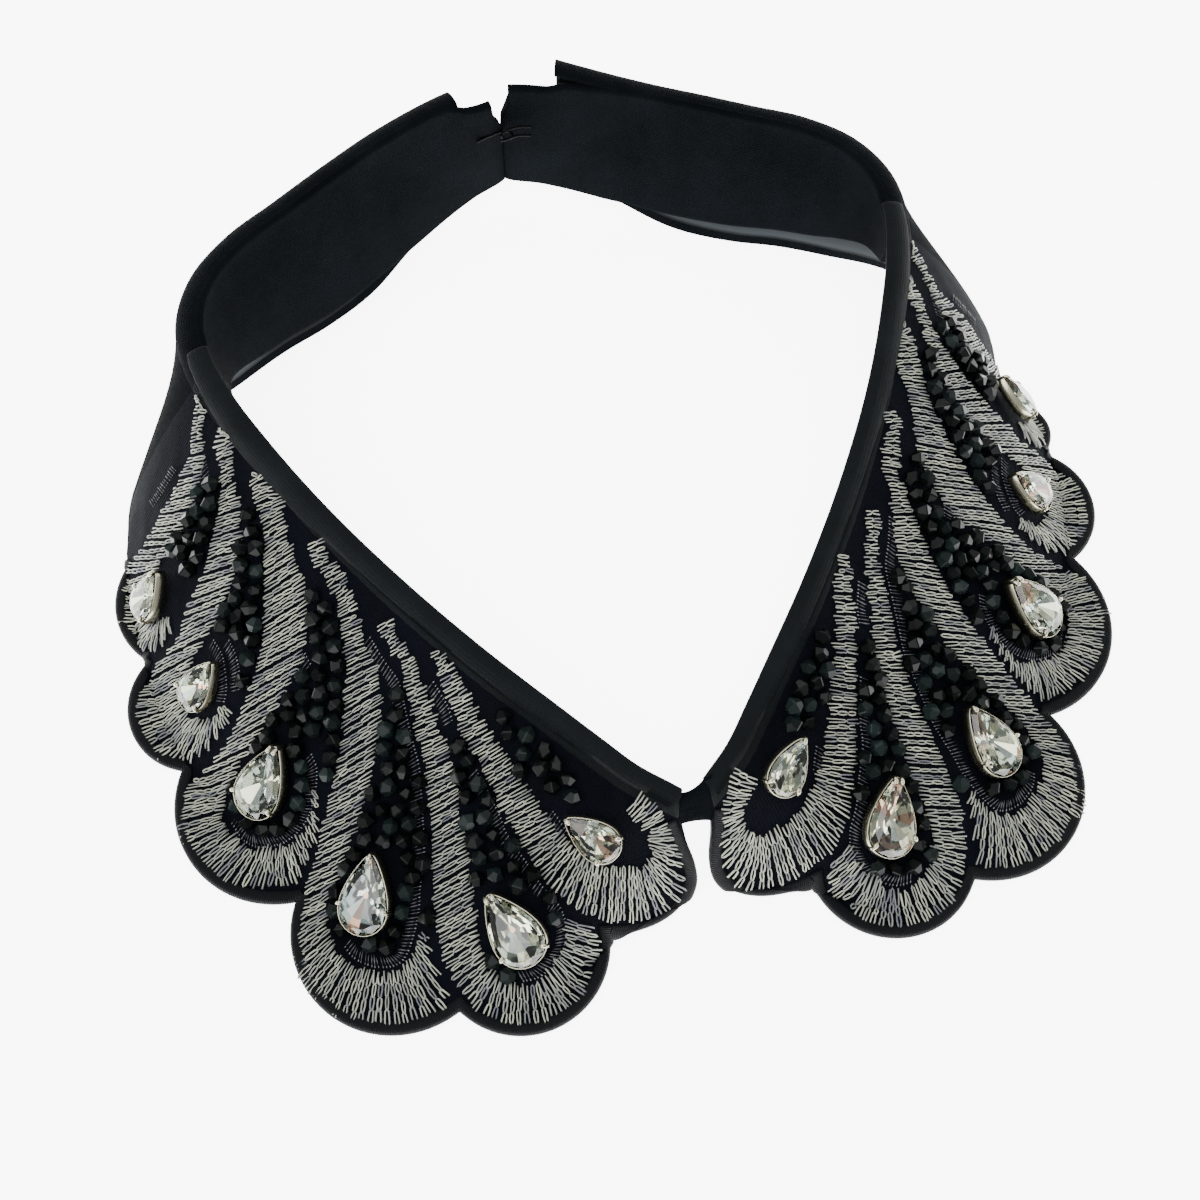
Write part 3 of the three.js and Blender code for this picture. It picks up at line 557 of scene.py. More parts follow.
# Inner face from the rolled edge to the foot, and the outer face a wall's thickness behind it
def standShell(side):
    s = np.linspace(standSize["start"], standSize["end"], standSize["columns"])
    share = np.linspace(0, 1, standSize["rows"])
    gridS, gridShare = np.broadcast_arrays(s[:, None], share[None, :])
    inner = standGrid(gridS, gridShare, side)
    # Towards the hook the edge runs on to the middle below a short open notch
    near = np.clip((gridS - (standSize["end"] - 7)) / 7, 0, 1) ** 2
    inner[..., 0] -= near * ease(gridShare, 0.03, 0.25) * (inner[..., 0] + 0.05)
    turn = np.radians(np.linspace(-60, 96, 12))  # round the leaf's cut edge
    centre = station(s)[:, None, :3] + [0, 0, sheet["leafWall"] / 2] + standDrop(s, side)[:, None, :]
    out = outward(s)[:, None, :]
    ring = -out * np.sin(turn)[None, :, None] + np.array([0, 0, 1.0]) * np.cos(turn)[None, :, None]
    rolled = centre + standSize["rollRadius"] * ring
    outer = inner + out * sheet["standWall"]
    front = np.concatenate([rolled, inner], 1)
    back = np.concatenate([rolled - ring * 0.06, outer], 1)
    points = np.concatenate([front, back[:, ::-1]], 1)
    lengths = np.cumsum(np.linalg.norm(np.diff(front, axis=1), axis=2), 1)
    lengths = np.concatenate([np.zeros((len(s), 1)), lengths], 1)
    down = np.concatenate([lengths, lengths[:, ::-1]], 1)
    along = np.broadcast_to(s[:, None], down.shape)
    return points, skinFaces(*points.shape[:2]), np.stack([along, down], -1)


for side, word in halves:
    points, faces, uv = standShell(side)
    makePiece(f"stand_cloth_{word}", points, faces, side, charcoalCloth, uv, node=f"stand_{word}")
print("stands made", flush=True)

# Neckline binding: a bias strip folded over the edge, seamed down a few mm in
bindingSize = {"start": -0.1, "end": 128.0, "columns": 260, "wrap": 1.3, "wide": 4.6, "narrow": 2.6,
    "thick": 0.24, "under": 1.6, "taper": 40}
# Bias-cut lining cloth: the same charcoal, a little greener and lighter
bindingCloth = clothMaterial("charcoal_bias_binding_twill", "#080b0c", "#0e1214", (0.35, 0.35), 0.3, 0.02,
    0.06)


# A thin strip over the sheet's face, from round the cut edge to its seam, narrower towards the back
def bindingShell(side):
    s = np.linspace(bindingSize["start"], bindingSize["end"], bindingSize["columns"])
    taper = np.clip((bindingSize["end"] - s) / bindingSize["taper"], 0, 1)
    width = bindingSize["narrow"] + (bindingSize["wide"] - bindingSize["narrow"]) * taper
    share = np.array([0, 0.05, 0.1, 0.2, 0.32, 0.46, 0.6, 0.74, 0.86, 0.94, 0.98, 1.0, 1.0])
    thick = bindingSize["thick"] * np.array([0.3, 1, 1, 1, 1, 1, 1, 1, 0.9, 0.7, 0.4, 0, -0.5])
    ripple = 0.05 * np.sin(s * 2.1 + np.sin(s * 0.37) * 2)[:, None]
    t = -bindingSize["wrap"] + (width[:, None] + bindingSize["wrap"]) * share + ripple * (share > 0.8)
    gridS = np.broadcast_to(s[:, None], t.shape)
    top = onSheet(corner(gridS, t, side), t, leafTop + thick)
    low = onSheet(corner(gridS, t, side), t, bindingSize["under"])
    points = np.concatenate([top, low[:, ::-1]], 1)
    spread = np.concatenate([t, t[:, ::-1]], 1)
    uv = np.stack([np.broadcast_to(s[:, None], spread.shape), spread], -1)
    return points, skinFaces(*points.shape[:2], turned=True), uv


for side, word in halves:
    points, faces, uv = bindingShell(side)
    makePiece(f"binding_{word}", points, faces, side, bindingCloth, uv)

# Front tie: a short tube of cloth, pressed flat, with the creases of its two sewn ends
tieSize = {"long": 8.6, "half": 3.4, "thick": 1.1, "middleT": 4.2}


# A flattened tube along x, pinched towards its ends by folds that run as sines round it
def tieShell():
    along = np.linspace(-1, 1, 36)[:, None]
    turn = (2 * math.pi * np.arange(48) / 48)[None, :]
    gather = 1 + 0.22 * along**2 + 0.05 * np.sin(5 * turn + 2 * along) * (0.4 + along**2)
    x = along * tieSize["long"] / 2 + 0 * turn
    down = tieSize["half"] * np.sin(turn) * gather
    spread = np.where(np.sin(turn) < 0, -1.9 * np.clip(along + 0.35, 0, 1) ** 2, 0.5 * along)
    down += spread * np.abs(np.sin(turn))
    up = tieSize["thick"] * np.cos(turn) * (1.1 + 0.1 * np.sin(3 * turn + 4 * along)) * (1 - 0.35 * along**4)
    middle = onSheet(0.0, tieSize["middleT"], leafTop / 2)
    slope = unit((underside(0.0, 9.0) - underside(0.0, 3.0)) * [0, 1, 1])
    face = np.cross(slope, [1.0, 0, 0])
    points = middle * [0, 1, 1] + x[..., None] * [1.0, 0, 0] + down[..., None] * slope + up[..., None] * face
    return points, skinFaces(*points.shape[:2], turned=True), np.stack([x, 3.3 * turn + 0 * x], -1)


points, faces, uv = tieShell()
makePiece("tie_tube", points, faces, 1, charcoalCloth, uv, node="front_tie")

# Hook and eye of the back: black-lacquered wire
lacquer = newMaterial("black_lacquered_steel_wire", {"Base Color": "#020203", "Roughness": 0.6,
    "Specular IOR Level": 0.05})[0]  # near black, with hardly a light on it
wireSize = {"steps": 48, "radius": 0.28, "tip": 0.02}
wires = {
    "hook": [(-6.4, -4.6, 24), (-3, -3.6, 24), (0.2, -3.2, 24), (1.8, -3.9, 24), (1.9, -4.9, 24),
        (0.6, -5.5, 24), (-1.2, -5.5, 24)],
    "eye": [(6.4, -4.6, 25.4), (3, -3.9, 25.4), (0.3, -4.35, 25.3), (-0.6, -4.35, 24), (0.3, -4.35, 22.7),
        (3, -3.9, 22.6), (6.4, -4.6, 22.6)],
}
for name, path in wires.items():
    line = smoothPath(path, wireSize["steps"])
    radius = np.full(wireSize["steps"], wireSize["radius"])
    radius[[0, -1]] = wireSize["tip"]
    points, faces = tube(line, radius, 10)
    makePiece(f"wire_{name}", points, faces, 1, lacquer, node=name)

# Satin-stitched rim: a half-round cord over the scalloped hem, ribbed by its own stitches
rimSize = {"perScallop": 64, "overrun": 0.04, "stitch": 0.42}
# Rayon thread laid side by side: darker than the cloth, with a soft streak of light along each stitch
satin, satinTree, satinShader = newMaterial("black_satin_stitch_thread", {"Base Color": "#08090c",
    "Roughness": 0.6, "Specular IOR Level": 0.08})
satinUv = addNode(satinTree, "ShaderNodeUVMap", (-1000, 0), uv_map="UVMap")
satinParts = addNode(satinTree, "ShaderNodeSeparateXYZ", (-820, 0), {"Vector": satinUv.outputs[0]})
satinWave = threadWave(satinTree, satinParts, "X", rimSize["stitch"])
satinBump = addNode(satinTree, "ShaderNodeBump", (-280, -160), {"Height": satinWave.outputs[0],
    "Strength": 0.5, "Distance": 0.0002})
satinTree.links.new(satinBump.outputs[0], satinShader.inputs["Normal"])


# Plan line of a lobe's edge; the first one starts high on the leaf's front edge
def edgeLine(number, row):
    over, count = rimSize["overrun"], rimSize["perScallop"]
    if number:
        return scallopArc(row, np.linspace(-over, 1 + over, count))
    edge = np.vstack([[(-0.1, 5.4), (-0.2, 8.0)], lobeOne, [(9.0, 33.8)]])
    s, t = smoothTable(np.arange(len(edge)), edge, np.linspace(0, len(edge) - 1, count)).T
    return underside(s, t)[:, :2]


# Across the rim: from the leaf over a half ellipse and round the cloth's edge to its underside
def rimShell():
    inset = np.array([2.4, 2.0, 1.5, 1.0, 0.5, 0.1, -0.25, -0.3, -0.15, 0.3])
    lift = np.array([1.82, 2.12, 2.32, 2.38, 2.3, 2.1, 1.6, 0.9, 0.3, 0.04])
    points, faces, uv = [], [], []
    start = 0.0
    for number, row in enumerate(scallops):
        line = edgeLine(number, row)
        along = unit(np.gradient(line, axis=0))
        inward = np.stack([-along[:, 1], along[:, 0]], 1)[:, None, :]
        plan = line[:, None, :] + inward * np.maximum(inset, 0)[None, :, None]
        s, t = locate(plan[..., 0], plan[..., 1], row[5], row[6])
        place = onSheet(s, t, lift)
        place[..., :2] += inward * np.minimum(inset, 0)[None, :, None]
        length = start + walkedTo(place[:, 3])
        start = length[-1]
        faces += [f + number * s.size for f in skinFaces(*s.shape, turned=True)]
        points.append(place)
        uv.append(np.stack(np.broadcast_arrays(length[:, None], inset[None, :]), -1))
    return np.concatenate(points), faces, np.concatenate(uv)


rimPoints, rimFaces, rimUv = rimShell()
for side, word in halves:
    makePiece(f"rim_{word}", rimPoints, rimFaces, side, satin, rimUv)
print("rims made", flush=True)


# Places and axes for things that stand on the sheet: along is a direction in space at each place
def seatedAxes(s, t, along):
    normal = directions(s, t)[2]
    along = unit(along - (along * normal).sum(-1, keepdims=True) * normal)
    return np.stack([along, np.cross(normal, along), normal], -2)


# Chain-stitch embroidery: each string runs from a band's outer edge to its inner edge.
# run, outerS, outerT, innerS, innerT of single strings, from the fold round the scallop to the band's end
bands = [
    np.array([
        (0, 50.6, 6.2, 49.7, 4.4), (1, 46.7, 8.6, 44.9, 5.3), (3, 40.4, 13.1, 38.0, 9.2),
        (4, 35.0, 16.1, 32.6, 11.6), (9, 21.2, 25.7, 17.9, 18.8), (12, 13.4, 30.5, 12.5, 20.3),
        (14, 9.5, 30.5, 9.8, 20.0), (15, 7.4, 30.2, 7.7, 19.2), (17, 5.0, 29.3, 6.0, 18.8),
        (19, 3.0, 28.0, 5.1, 18.0), (21, 1.6, 25.0, 4.7, 17.2), (22, 1.1, 22.0, 4.4, 16.2),
        (24, 0.7, 17.6, 3.9, 14.7), (26, 0.5, 13.7, 3.8, 13.1), (28, 0.6, 9.6, 4.0, 11.4),
        (30, 1.4, 6.8, 4.4, 9.9), (32, 2.6, 4.3, 5.6, 8.6), (34, 4.6, 2.5, 7.3, 8.0),
        (35, 5.9, 1.4, 8.3, 8.0),
    ]),
    np.array([
        (0, 61.4, 8.9, 59.9, 6.2), (1, 58.7, 10.4, 57.5, 7.7), (2, 54.8, 11.3, 53.3, 8.6),
        (3, 52.4, 13.7, 50.6, 10.7), (6, 43.1, 22.7, 40.4, 18.2), (8, 38.0, 29.9, 35.0, 24.2),
        (11, 31.1, 44.0, 27.5, 36.5), (13, 27.2, 50.9, 24.2, 44.0), (15, 23.0, 55.7, 21.5, 48.8),
        (17, 19.1, 58.1, 19.7, 49.4), (20, 14.6, 54.8, 16.7, 47.6), (23, 9.8, 47.6, 14.9, 42.2),
        (25, 9.8, 37.7, 14.3, 37.7), (27, 11.3, 31.7, 14.9, 32.0),
    ]),
    np.array([
        (0, 81.5, 7.3, 79.7, 4.0), (1, 78.8, 8.8, 77.0, 6.0), (2, 74.9, 9.5, 73.4, 5.9),
        (3, 70.7, 11.0, 69.5, 7.7), (4, 67.4, 14.6, 65.3, 10.7), (5, 64.4, 17.6, 62.0, 13.4),
        (6, 61.4, 22.1, 58.1, 15.2), (8, 56.9, 31.1, 53.3, 22.1), (12, 51.5, 49.7, 47.6, 41.3),
        (14, 49.4, 59.3, 46.4, 52.1), (15, 48.2, 65.0, 45.8, 57.2), (18, 43.1, 74.0, 41.9, 64.4),
        (19, 40.4, 75.2, 40.1, 65.0), (21, 35.0, 74.0, 36.5, 64.1), (24, 28.7, 68.6, 32.6, 60.5),
        (26, 25.7, 63.2, 31.1, 56.6), (27, 24.2, 59.0, 30.8, 54.5), (29, 28.1, 52.7, 31.1, 51.8),
        (30, 29.9, 49.7, 31.4, 50.0),
    ]),
    np.array([
        (0, 101.3, 4.5, 100.4, 3.5), (1, 98.9, 8.0, 97.1, 4.0), (2, 95.9, 9.6, 92.6, 4.3),
        (4, 89.0, 14.1, 86.9, 8.8), (6, 83.0, 21.8, 79.4, 12.8), (8, 78.5, 29.3, 73.7, 17.9),
        (9, 77.6, 32.0, 72.5, 20.6), (11, 75.5, 40.1, 70.1, 27.5), (13, 74.6, 48.2, 70.1, 38.0),
        (15, 75.8, 56.3, 70.1, 45.8), (16, 76.7, 61.7, 70.4, 49.4), (20, 69.8, 72.2, 67.1, 62.9),
        (23, 61.7, 71.3, 61.7, 62.3), (25, 57.2, 67.4, 59.0, 58.7), (27, 53.0, 62.6, 56.6, 56.0),
        (28, 51.5, 58.4, 55.7, 54.5), (31, 52.4, 49.7, 54.5, 48.5), (34, 55.4, 41.9, 56.9, 41.6),
    ]),
    np.array([
        (0, 112.4, 5.0, 110.0, 3.3), (1, 110.3, 8.5, 108.2, 4.3), (2, 107.3, 10.8, 105.5, 7.8),
        (3, 104.3, 13.6, 103.1, 10.1), (5, 101.6, 18.8, 98.0, 13.3), (9, 97.4, 31.4, 91.4, 22.7),
        (11, 96.8, 38.3, 90.2, 28.1), (12, 95.6, 41.3, 89.6, 31.1), (15, 97.4, 53.6, 89.6, 40.4),
        (16, 97.4, 59.0, 89.6, 44.6), (18, 94.7, 64.1, 88.7, 51.2), (21, 86.6, 65.3, 83.9, 51.5),
        (24, 79.4, 57.8, 80.6, 49.4), (27, 76.4, 48.2, 79.1, 46.1), (29, 77.0, 43.7, 78.8, 43.7),
    ]),
    np.array([
        (0, 120.5, 4.3, 120.5, 3.5), (1, 119.6, 7.5, 117.8, 4.8), (2, 117.5, 10.3, 116.0, 8.0),
        (5, 113.3, 17.0, 110.9, 13.1), (8, 112.4, 26.6, 108.2, 19.1), (10, 112.1, 32.3, 107.3, 25.1),
        (13, 112.7, 42.2, 106.4, 32.9), (14, 113.6, 46.1, 107.3, 36.8), (15, 113.3, 51.5, 108.2, 41.0),
        (16, 111.8, 53.3, 109.1, 46.1), (18, 108.5, 56.3, 106.1, 49.1), (19, 106.7, 56.6, 104.6, 48.2),
        (20, 104.6, 55.7, 103.4, 47.3), (21, 101.6, 51.8, 102.2, 46.1), (22, 98.9, 49.1, 101.3, 44.9),
        (24, 97.1, 43.1, 99.8, 41.9),
    ]),
]

# Satin edging of the bead fields: s, t along its middle, per lobe
hatchLines = {
    1: [[(20.0, 15.8), (18.5, 16.7), (17.3, 17.6)]],
    2: [[(47.9, 9.8), (43.7, 11.6), (41.6, 13.4)], [(34.1, 17.9), (28.1, 21.8), (25.7, 24.2), (21.5, 26.9),
        (18.8, 29.3), (16.1, 31.1), (14.6, 34.1), (14.3, 37.7), (14.9, 41.3), (16.4, 45.5), (17.9, 47.6)]],
    3: [[(62.0, 11.6), (57.8, 13.1), (53.6, 14.3), (50.6, 17.0), (48.5, 19.1), (45.8, 21.8), (43.1, 24.5),
        (40.7, 28.4), (38.6, 32.0), (36.2, 36.5), (34.1, 43.1), (32.9, 46.4), (32.0, 50.9), (31.7, 55.7),
        (32.6, 58.4), (34.4, 60.8), (36.5, 62.6), (38.6, 63.2), (40.4, 62.6)]],
    4: [[(70.7, 23.3), (68.3, 24.2)], [(60.2, 37.1), (58.1, 38.6), (56.6, 41.6), (55.4, 45.8), (55.4, 50.0),
        (56.6, 54.2), (59.3, 58.1), (62.9, 61.1), (66.5, 59.9)]],
    5: [[(87.8, 36.2), (84.5, 36.8), (82.1, 38.6), (80.0, 41.0), (79.1, 43.7)],
        [(84.8, 33.5), (82.1, 34.4), (79.7, 36.2), (77.9, 38.9)]],
    6: [[(114.5, 20.9), (114.5, 24.2), (114.5, 28.1), (114.8, 32.0)], [(111.2, 12.2), (107.9, 14.3)]],
}

# Silver-grey rayon embroidery thread: a dull silk light, each link a little lighter or darker
thread = markedMaterial("silver_grey_rayon_thread", "tone", {0.0: "#54565d", 0.35: "#767973", 1.0: "#9ea190"},
    {"Roughness": 0.55, "Sheen Weight": 0.15})

stitchSize = {"pitch": 1.3, "link": 2.3, "strand": 0.155, "lift": 0.3, "ragged": 0.5, "forks": 0.75}

# share of the length, half width and height along a link's thread; the fork stays open at its far end
closedLoop = np.array([(0, 0, 0), (0.13, 0.21, 0.14), (0.5, 0.29, 0.16), (0.86, 0.25, 0.1), (1, 0, 0.02),
    (0.86, -0.25, 0.1), (0.5, -0.29, 0.16), (0.13, -0.21, 0.14)])
openFork = np.array([(0.92, 0.33, -0.05), (0.6, 0.3, 0.12), (0.14, 0.22, 0.14), (0, 0, 0.04),
    (0.14, -0.22, 0.14), (0.62, -0.29, 0.12), (1.06, -0.3, -0.05)])


# One link of thread as a three-sided tube, its length scaled to 1
def linkShape(path, closed):
    long = stitchSize["link"]
    points, (quads, *ends) = tube(path * (long, 1, 1), stitchSize["strand"], 3, closed)
    return points / (long, 1, 1), np.concatenate([quads[:, [0, 1, 2]], quads[:, [0, 2, 3]], *ends])


# Strings at an even pitch along the band's middle, and links along each string
def bandLinks(table):
    fine = np.linspace(table[0, 0], table[-1, 0], 500)
    ends = evenTable(table[:, 0], table[:, 1:], fine)
    outer, inner = onSheet(ends[:, 0], ends[:, 1], leafTop), onSheet(ends[:, 2], ends[:, 3], leafTop)
    cross = unit(outer - inner)[1:]
    outerGap, innerGap = (np.linalg.norm(gap - (gap * cross).sum(1, keepdims=True) * cross, axis=1)
        for gap in (np.diff(outer, axis=0), np.diff(inner, axis=0)))  # the gap square to the strings
    walked = np.concatenate([[0], np.cumsum(0.4 * outerGap + 0.6 * innerGap)])
    count = int(walked[-1] / stitchSize["pitch"]) + 1
    stops = (np.arange(count) + rng.uniform(-0.12, 0.12, count)) * stitchSize["pitch"]
    at = np.interp(stops, walked, fine)
    ends = evenTable(table[:, 0], table[:, 1:], at)
    a, b = ends[:, :2], ends[:, 2:]
    length = np.linalg.norm(onSheet(a[:, 0], a[:, 1], leafTop) - onSheet(b[:, 0], b[:, 1], leafTop), axis=1)
    ragged = stitchSize["ragged"] * rng.uniform(-1, 1, (2, count)) / np.maximum(length, 1)
    number = np.round(length / stitchSize["link"] + rng.uniform(-0.3, 0.45, count)).astype(int)
    number = np.maximum(number, 1 + (length > 2.0))  # no short string is one long loop
    string = np.repeat(np.arange(count), number)
    place = np.arange(number.sum()) - np.repeat(np.cumsum(number) - number, number)
    phase = rng.uniform(-0.22, 0.22, count)[string]
    inside = (place > 0)
    startShare = (place + phase * inside) / number[string] - ragged[0][string] * (place == 0)
    last = (place == number[string] - 1)
    endShare = (place + 1 + phase * ~last) / number[string] + ragged[1][string] * last
    low = a[string] + (b - a)[string] * startShare[:, None]
    high = a[string] + (b - a)[string] * (endShare + 0.14 / number[string])[:, None]
    lowPoint = onSheet(low[:, 0], low[:, 1], leafTop + stitchSize["lift"])
    highPoint = onSheet(high[:, 0], high[:, 1], leafTop + stitchSize["lift"])
    stray = rng.normal(0, 0.13, (len(low), 3))
    stray[:, 2] *= 0.3
    along = highPoint + stray - lowPoint
    axes = seatedAxes((low[:, 0] + high[:, 0]) / 2, (low[:, 1] + high[:, 1]) / 2, along)
    between = np.interp(at, fine[1:], outerGap / np.maximum(innerGap, 1e-6))[string]
    fan = 1 + 0.22 * np.clip(between - 1, 0, 1.2) * (1 - startShare)  # wider where the strings fan out
    sizes = np.column_stack([np.linalg.norm(along, axis=1), rng.uniform(0.9, 1.3, len(low)) * fan,
        rng.uniform(0.8, 1.3, len(low))])
    # The first and last link of most strings end as forks that open away from the string's middle
    forked = (rng.random(len(low)) < stitchSize["forks"]) & ((place == 0) | last)
    turned = forked & (place == 0)
    lowPoint = np.where(turned[:, None], lowPoint + along, lowPoint)
    axes = axes * np.where(turned, -1, 1)[:, None, None]
    axes[turned, 2] *= -1
    tone = np.clip(rng.normal(0.55, 0.25, len(low)) + rng.normal(0, 0.12, count)[string], 0, 1)
    return lowPoint, axes, sizes, tone, forked


links = [linkShape(closedLoop, True), linkShape(openFork, False)]
for number, table in enumerate(bands, 1):
    for side, word in halves:
        places, axes, sizes, tone, forked = bandLinks(table)
        chosen = [forked == k for k in (0, 1)]
        (loops, loopFaces), (forks, forkFaces) = (scatter(*links[k], places[chosen[k]], axes[chosen[k]],
            sizes[chosen[k]]) for k in (0, 1))
        tones = np.concatenate([np.repeat(tone[chosen[k]], len(links[k][0])) for k in (0, 1)])
        makePiece(f"stitches_{word}_{number}", np.concatenate([loops, forks]),
            np.concatenate([loopFaces, forkFaces + len(loops)]), side, thread,
            marks={"tone": tones}, node=f"embroidery_{word}_{number}")
print("embroidery made", sum(len(p.data.polygons) for n, p in pieces.items() if "stitches" in n), flush=True)

# Satin edging: short grey threads laid slantwise over the dark cloth, some worn thin
hatchSize = {"pitch": 0.72, "long": 2.1, "tick": 0.5, "radius": 0.11, "slant": 0.35,
    "lift": 0.22}
hatchLight = {1: 0.5, 6: 0.25}  # fainter on these lobes
hatchThread = markedMaterial("grey_satin_edging_thread", "tone", {0.0: "#0c0d10", 1.0: "#77787f"},
    {"Roughness": 0.5})


# Four-sided sliver, thickest in the middle
def sliverShape():
    turn = 2 * math.pi * np.arange(4) / 4
    points = [np.column_stack([np.full(4, x), r * np.cos(turn), r * np.sin(turn)])
        for x, r in ((-0.5, 0.3), (0.0, 1.0), (0.5, 0.3))]
    return np.concatenate(points), np.concatenate(skinFaces(3, 4, turned=True))


# Slivers at an even pitch along a line, and their longer middles set beside it along the slant
def hatchPlaces(line):
    line = np.array(line, float)
    fine = smoothTable(np.arange(len(line)), line, np.linspace(0, len(line) - 1, 300))
    path = onSheet(fine[:, 0], fine[:, 1], leafTop)
    walked = walkedTo(path)
    stops = np.arange(0, walked[-1], hatchSize["pitch"])
    stops = stops + rng.uniform(-0.1, 0.1, len(stops))
    s, t = np.interp(stops, walked, fine[:, 0]), np.interp(stops, walked, fine[:, 1])
    s2, t2 = np.interp(stops + 0.4, walked, fine[:, 0]), np.interp(stops + 0.4, walked, fine[:, 1])
    ahead = onSheet(s2, t2, leafTop) - onSheet(s, t, leafTop)
    ahead[-1] = ahead[-2]
    axes = seatedAxes(s, t, ahead)
    turned = axes[:, 1] + hatchSize["slant"] * axes[:, 0]
    slant = seatedAxes(s, t, turned)
    edge = onSheet(s, t, leafTop + hatchSize["lift"])
    return edge, slant, edge + slant[:, 0] * hatchSize["long"] * 0.55


sliver, sliverFaces = sliverShape()
for side, word in halves:
    parts = [hatchPlaces(line) for lines in hatchLines.values() for line in lines]
    light = [hatchLight.get(lobe, 1) for lobe, lines in hatchLines.items() for line in lines]
    light = np.tile(np.repeat(light, [len(p[0]) for p in parts]), 2)
    edge, axes, middle = (np.concatenate([p[k] for p in parts]) for k in range(3))
    count = len(edge)
    sizes = np.column_stack([
        np.concatenate([np.full(count, hatchSize["tick"]),
            hatchSize["long"] * rng.uniform(0.6, 1.15, count)]),
        hatchSize["radius"] * rng.uniform(0.7, 1.4, (2, 2 * count)).T])
    points, faces = scatter(sliver, sliverFaces, np.concatenate([edge, middle]), np.tile(axes, (2, 1, 1)),
        sizes)
    tone = light * np.concatenate([rng.uniform(0.5, 1, count), rng.uniform(0.05, 0.45, count)])
    makePiece(f"edging_{word}", points, faces, side, hatchThread,
        marks={"tone": np.repeat(tone, len(sliver))})

# Stones: pear cuts with a many-sided table, a crown of triangles and a foiled back of long facets
# seatS, seatT, pointS, pointT, long, wide
stones = np.array([
    (13.2, 15.4, 19.0, 14.8, 11.4, 7.2),
    (21.4, 39.2, 25.6, 35.8, 15, 9.6),
    (40.9, 50.9, 43.1, 43.6, 15, 9.6),
    (65.1, 49.2, 66.0, 41.0, 15, 9.6),
    (86.9, 46.2, 86.5, 40.6, 11.4, 7.2),
    (106.3, 42.2, 106.5, 36.0, 11.4, 7.2),
])

# The right and left stones don't sit quite alike: shift in s and t on each side
stoneShift = {
    1: np.array([(0.4, -3.8), (-0.8, -3.7), (-1.9, -2.8), (-1.5, -0.7), (-2.8, -3.3), (-2.9, -3.2)]),
    -1: np.array([(0, 0), (-0.9, -0.4), (-0.5, -1.1), (-1.1, -2.5), (-3.0, -2.9), (-2.0, -0.8)]),
}

# Cut glass: clear, so its facets show what the foil behind them throws back
crystal = newMaterial("clear_cut_glass_crystal", {"Base Color": "#f0f3e6", "Roughness": 0.0, "IOR": 1.56,
    "Transmission Weight": 1.0})[0]
# Silvered foil on the stone's back: a bright mirror, pale on most facets, blue-grey or rose on a few
foil = markedMaterial("silvered_glass_foil", "tint", {0.0: "#c8cabb", 0.6: "#a2adb0", 0.92: "#c09a8a"},
    {"Metallic": 1.0, "Roughness": 0.06}, steps=True)


seatLift = 0.8  # mm from the leaf's face to a setting's foot


# Ellipse whose width shrinks towards +X, grown outwards by some mm
def pear(long, wide, grow, turn):
    narrow = 1 - 0.66 * ((1 + np.cos(turn)) / 2) ** 1.25
    outline = np.stack([long / 2 * np.cos(turn), wide / 2 * np.sin(turn) * narrow * 1.27], -1)
    away = unit(np.stack([np.cos(turn), np.sin(turn) * long / wide], -1))
    return outline + away * grow


# A setting's foot on the leaf, and axes whose first one looks at the stone's narrow end
def seatOf(number, side):
    (s, t), (pointS, pointT) = stones[number - 1, :4].reshape(2, 2) + stoneShift[side][number - 1]
    seat = onSheet(s, t, leafTop + seatLift)
    return seat, seatedAxes(s, t, onSheet(pointS, pointT, leafTop) - seat)


# Small stones are cut flatter than large ones
def flatter(row):
    return 0.54 + 0.0375 * row[5]


# A stone's widest line lies at this height before it is flattened
def girdleOf(row):
    return 3.0 + 0.6 * row[5] / 11


# Five rings of corners: back, girdle twice, crown and table
def stoneShape(row):
    size = row[5] / 11
    even = 2 * math.pi * np.arange(14) / 14
    rings = [
        (pear(row[4], row[5], 0, even) * 0.10, 0.9),
        (pear(row[4], row[5], 0, even), girdleOf(row)),
        (pear(row[4], row[5], 0, even), girdleOf(row) + 0.25),
        (pear(row[4], row[5], 0, even + math.pi / 14) * 0.84, 3.6 + 1.4 * size),
        (pear(row[4], row[5], 0, even) * 0.58, 3.6 + 2.0 * size),
    ]
    points = np.concatenate([np.column_stack([p, np.full(14, z * flatter(row))]) for p, z in rings])
    i = np.arange(14)
    j = (i + 1) % 14
    ring = lambda k, n: k * 14 + n
    quads = np.concatenate([np.stack([ring(k, i), ring(k, j), ring(k + 1, j), ring(k + 1, i)], 1)
        for k in (0, 1)])
    threes = np.concatenate([
        np.stack([ring(2, i), ring(2, j), ring(3, i)], 1), np.stack([ring(2, j), ring(3, j), ring(3, i)], 1),
        np.stack([ring(3, i), ring(4, j), ring(4, i)], 1), np.stack([ring(3, i), ring(3, j), ring(4, j)], 1),
    ])
    ends = [np.arange(14)[::-1][None, :], (4 * 14 + np.arange(14))[None, :]]
    return points, [quads, threes, *ends]


# Silver-plated brass claws: bright, with a soft brushed light
claw = newMaterial("silver_plated_brass_stamped", {"Base Color": "#a8a591", "Metallic": 1.0,
    "Roughness": 0.24})[0]


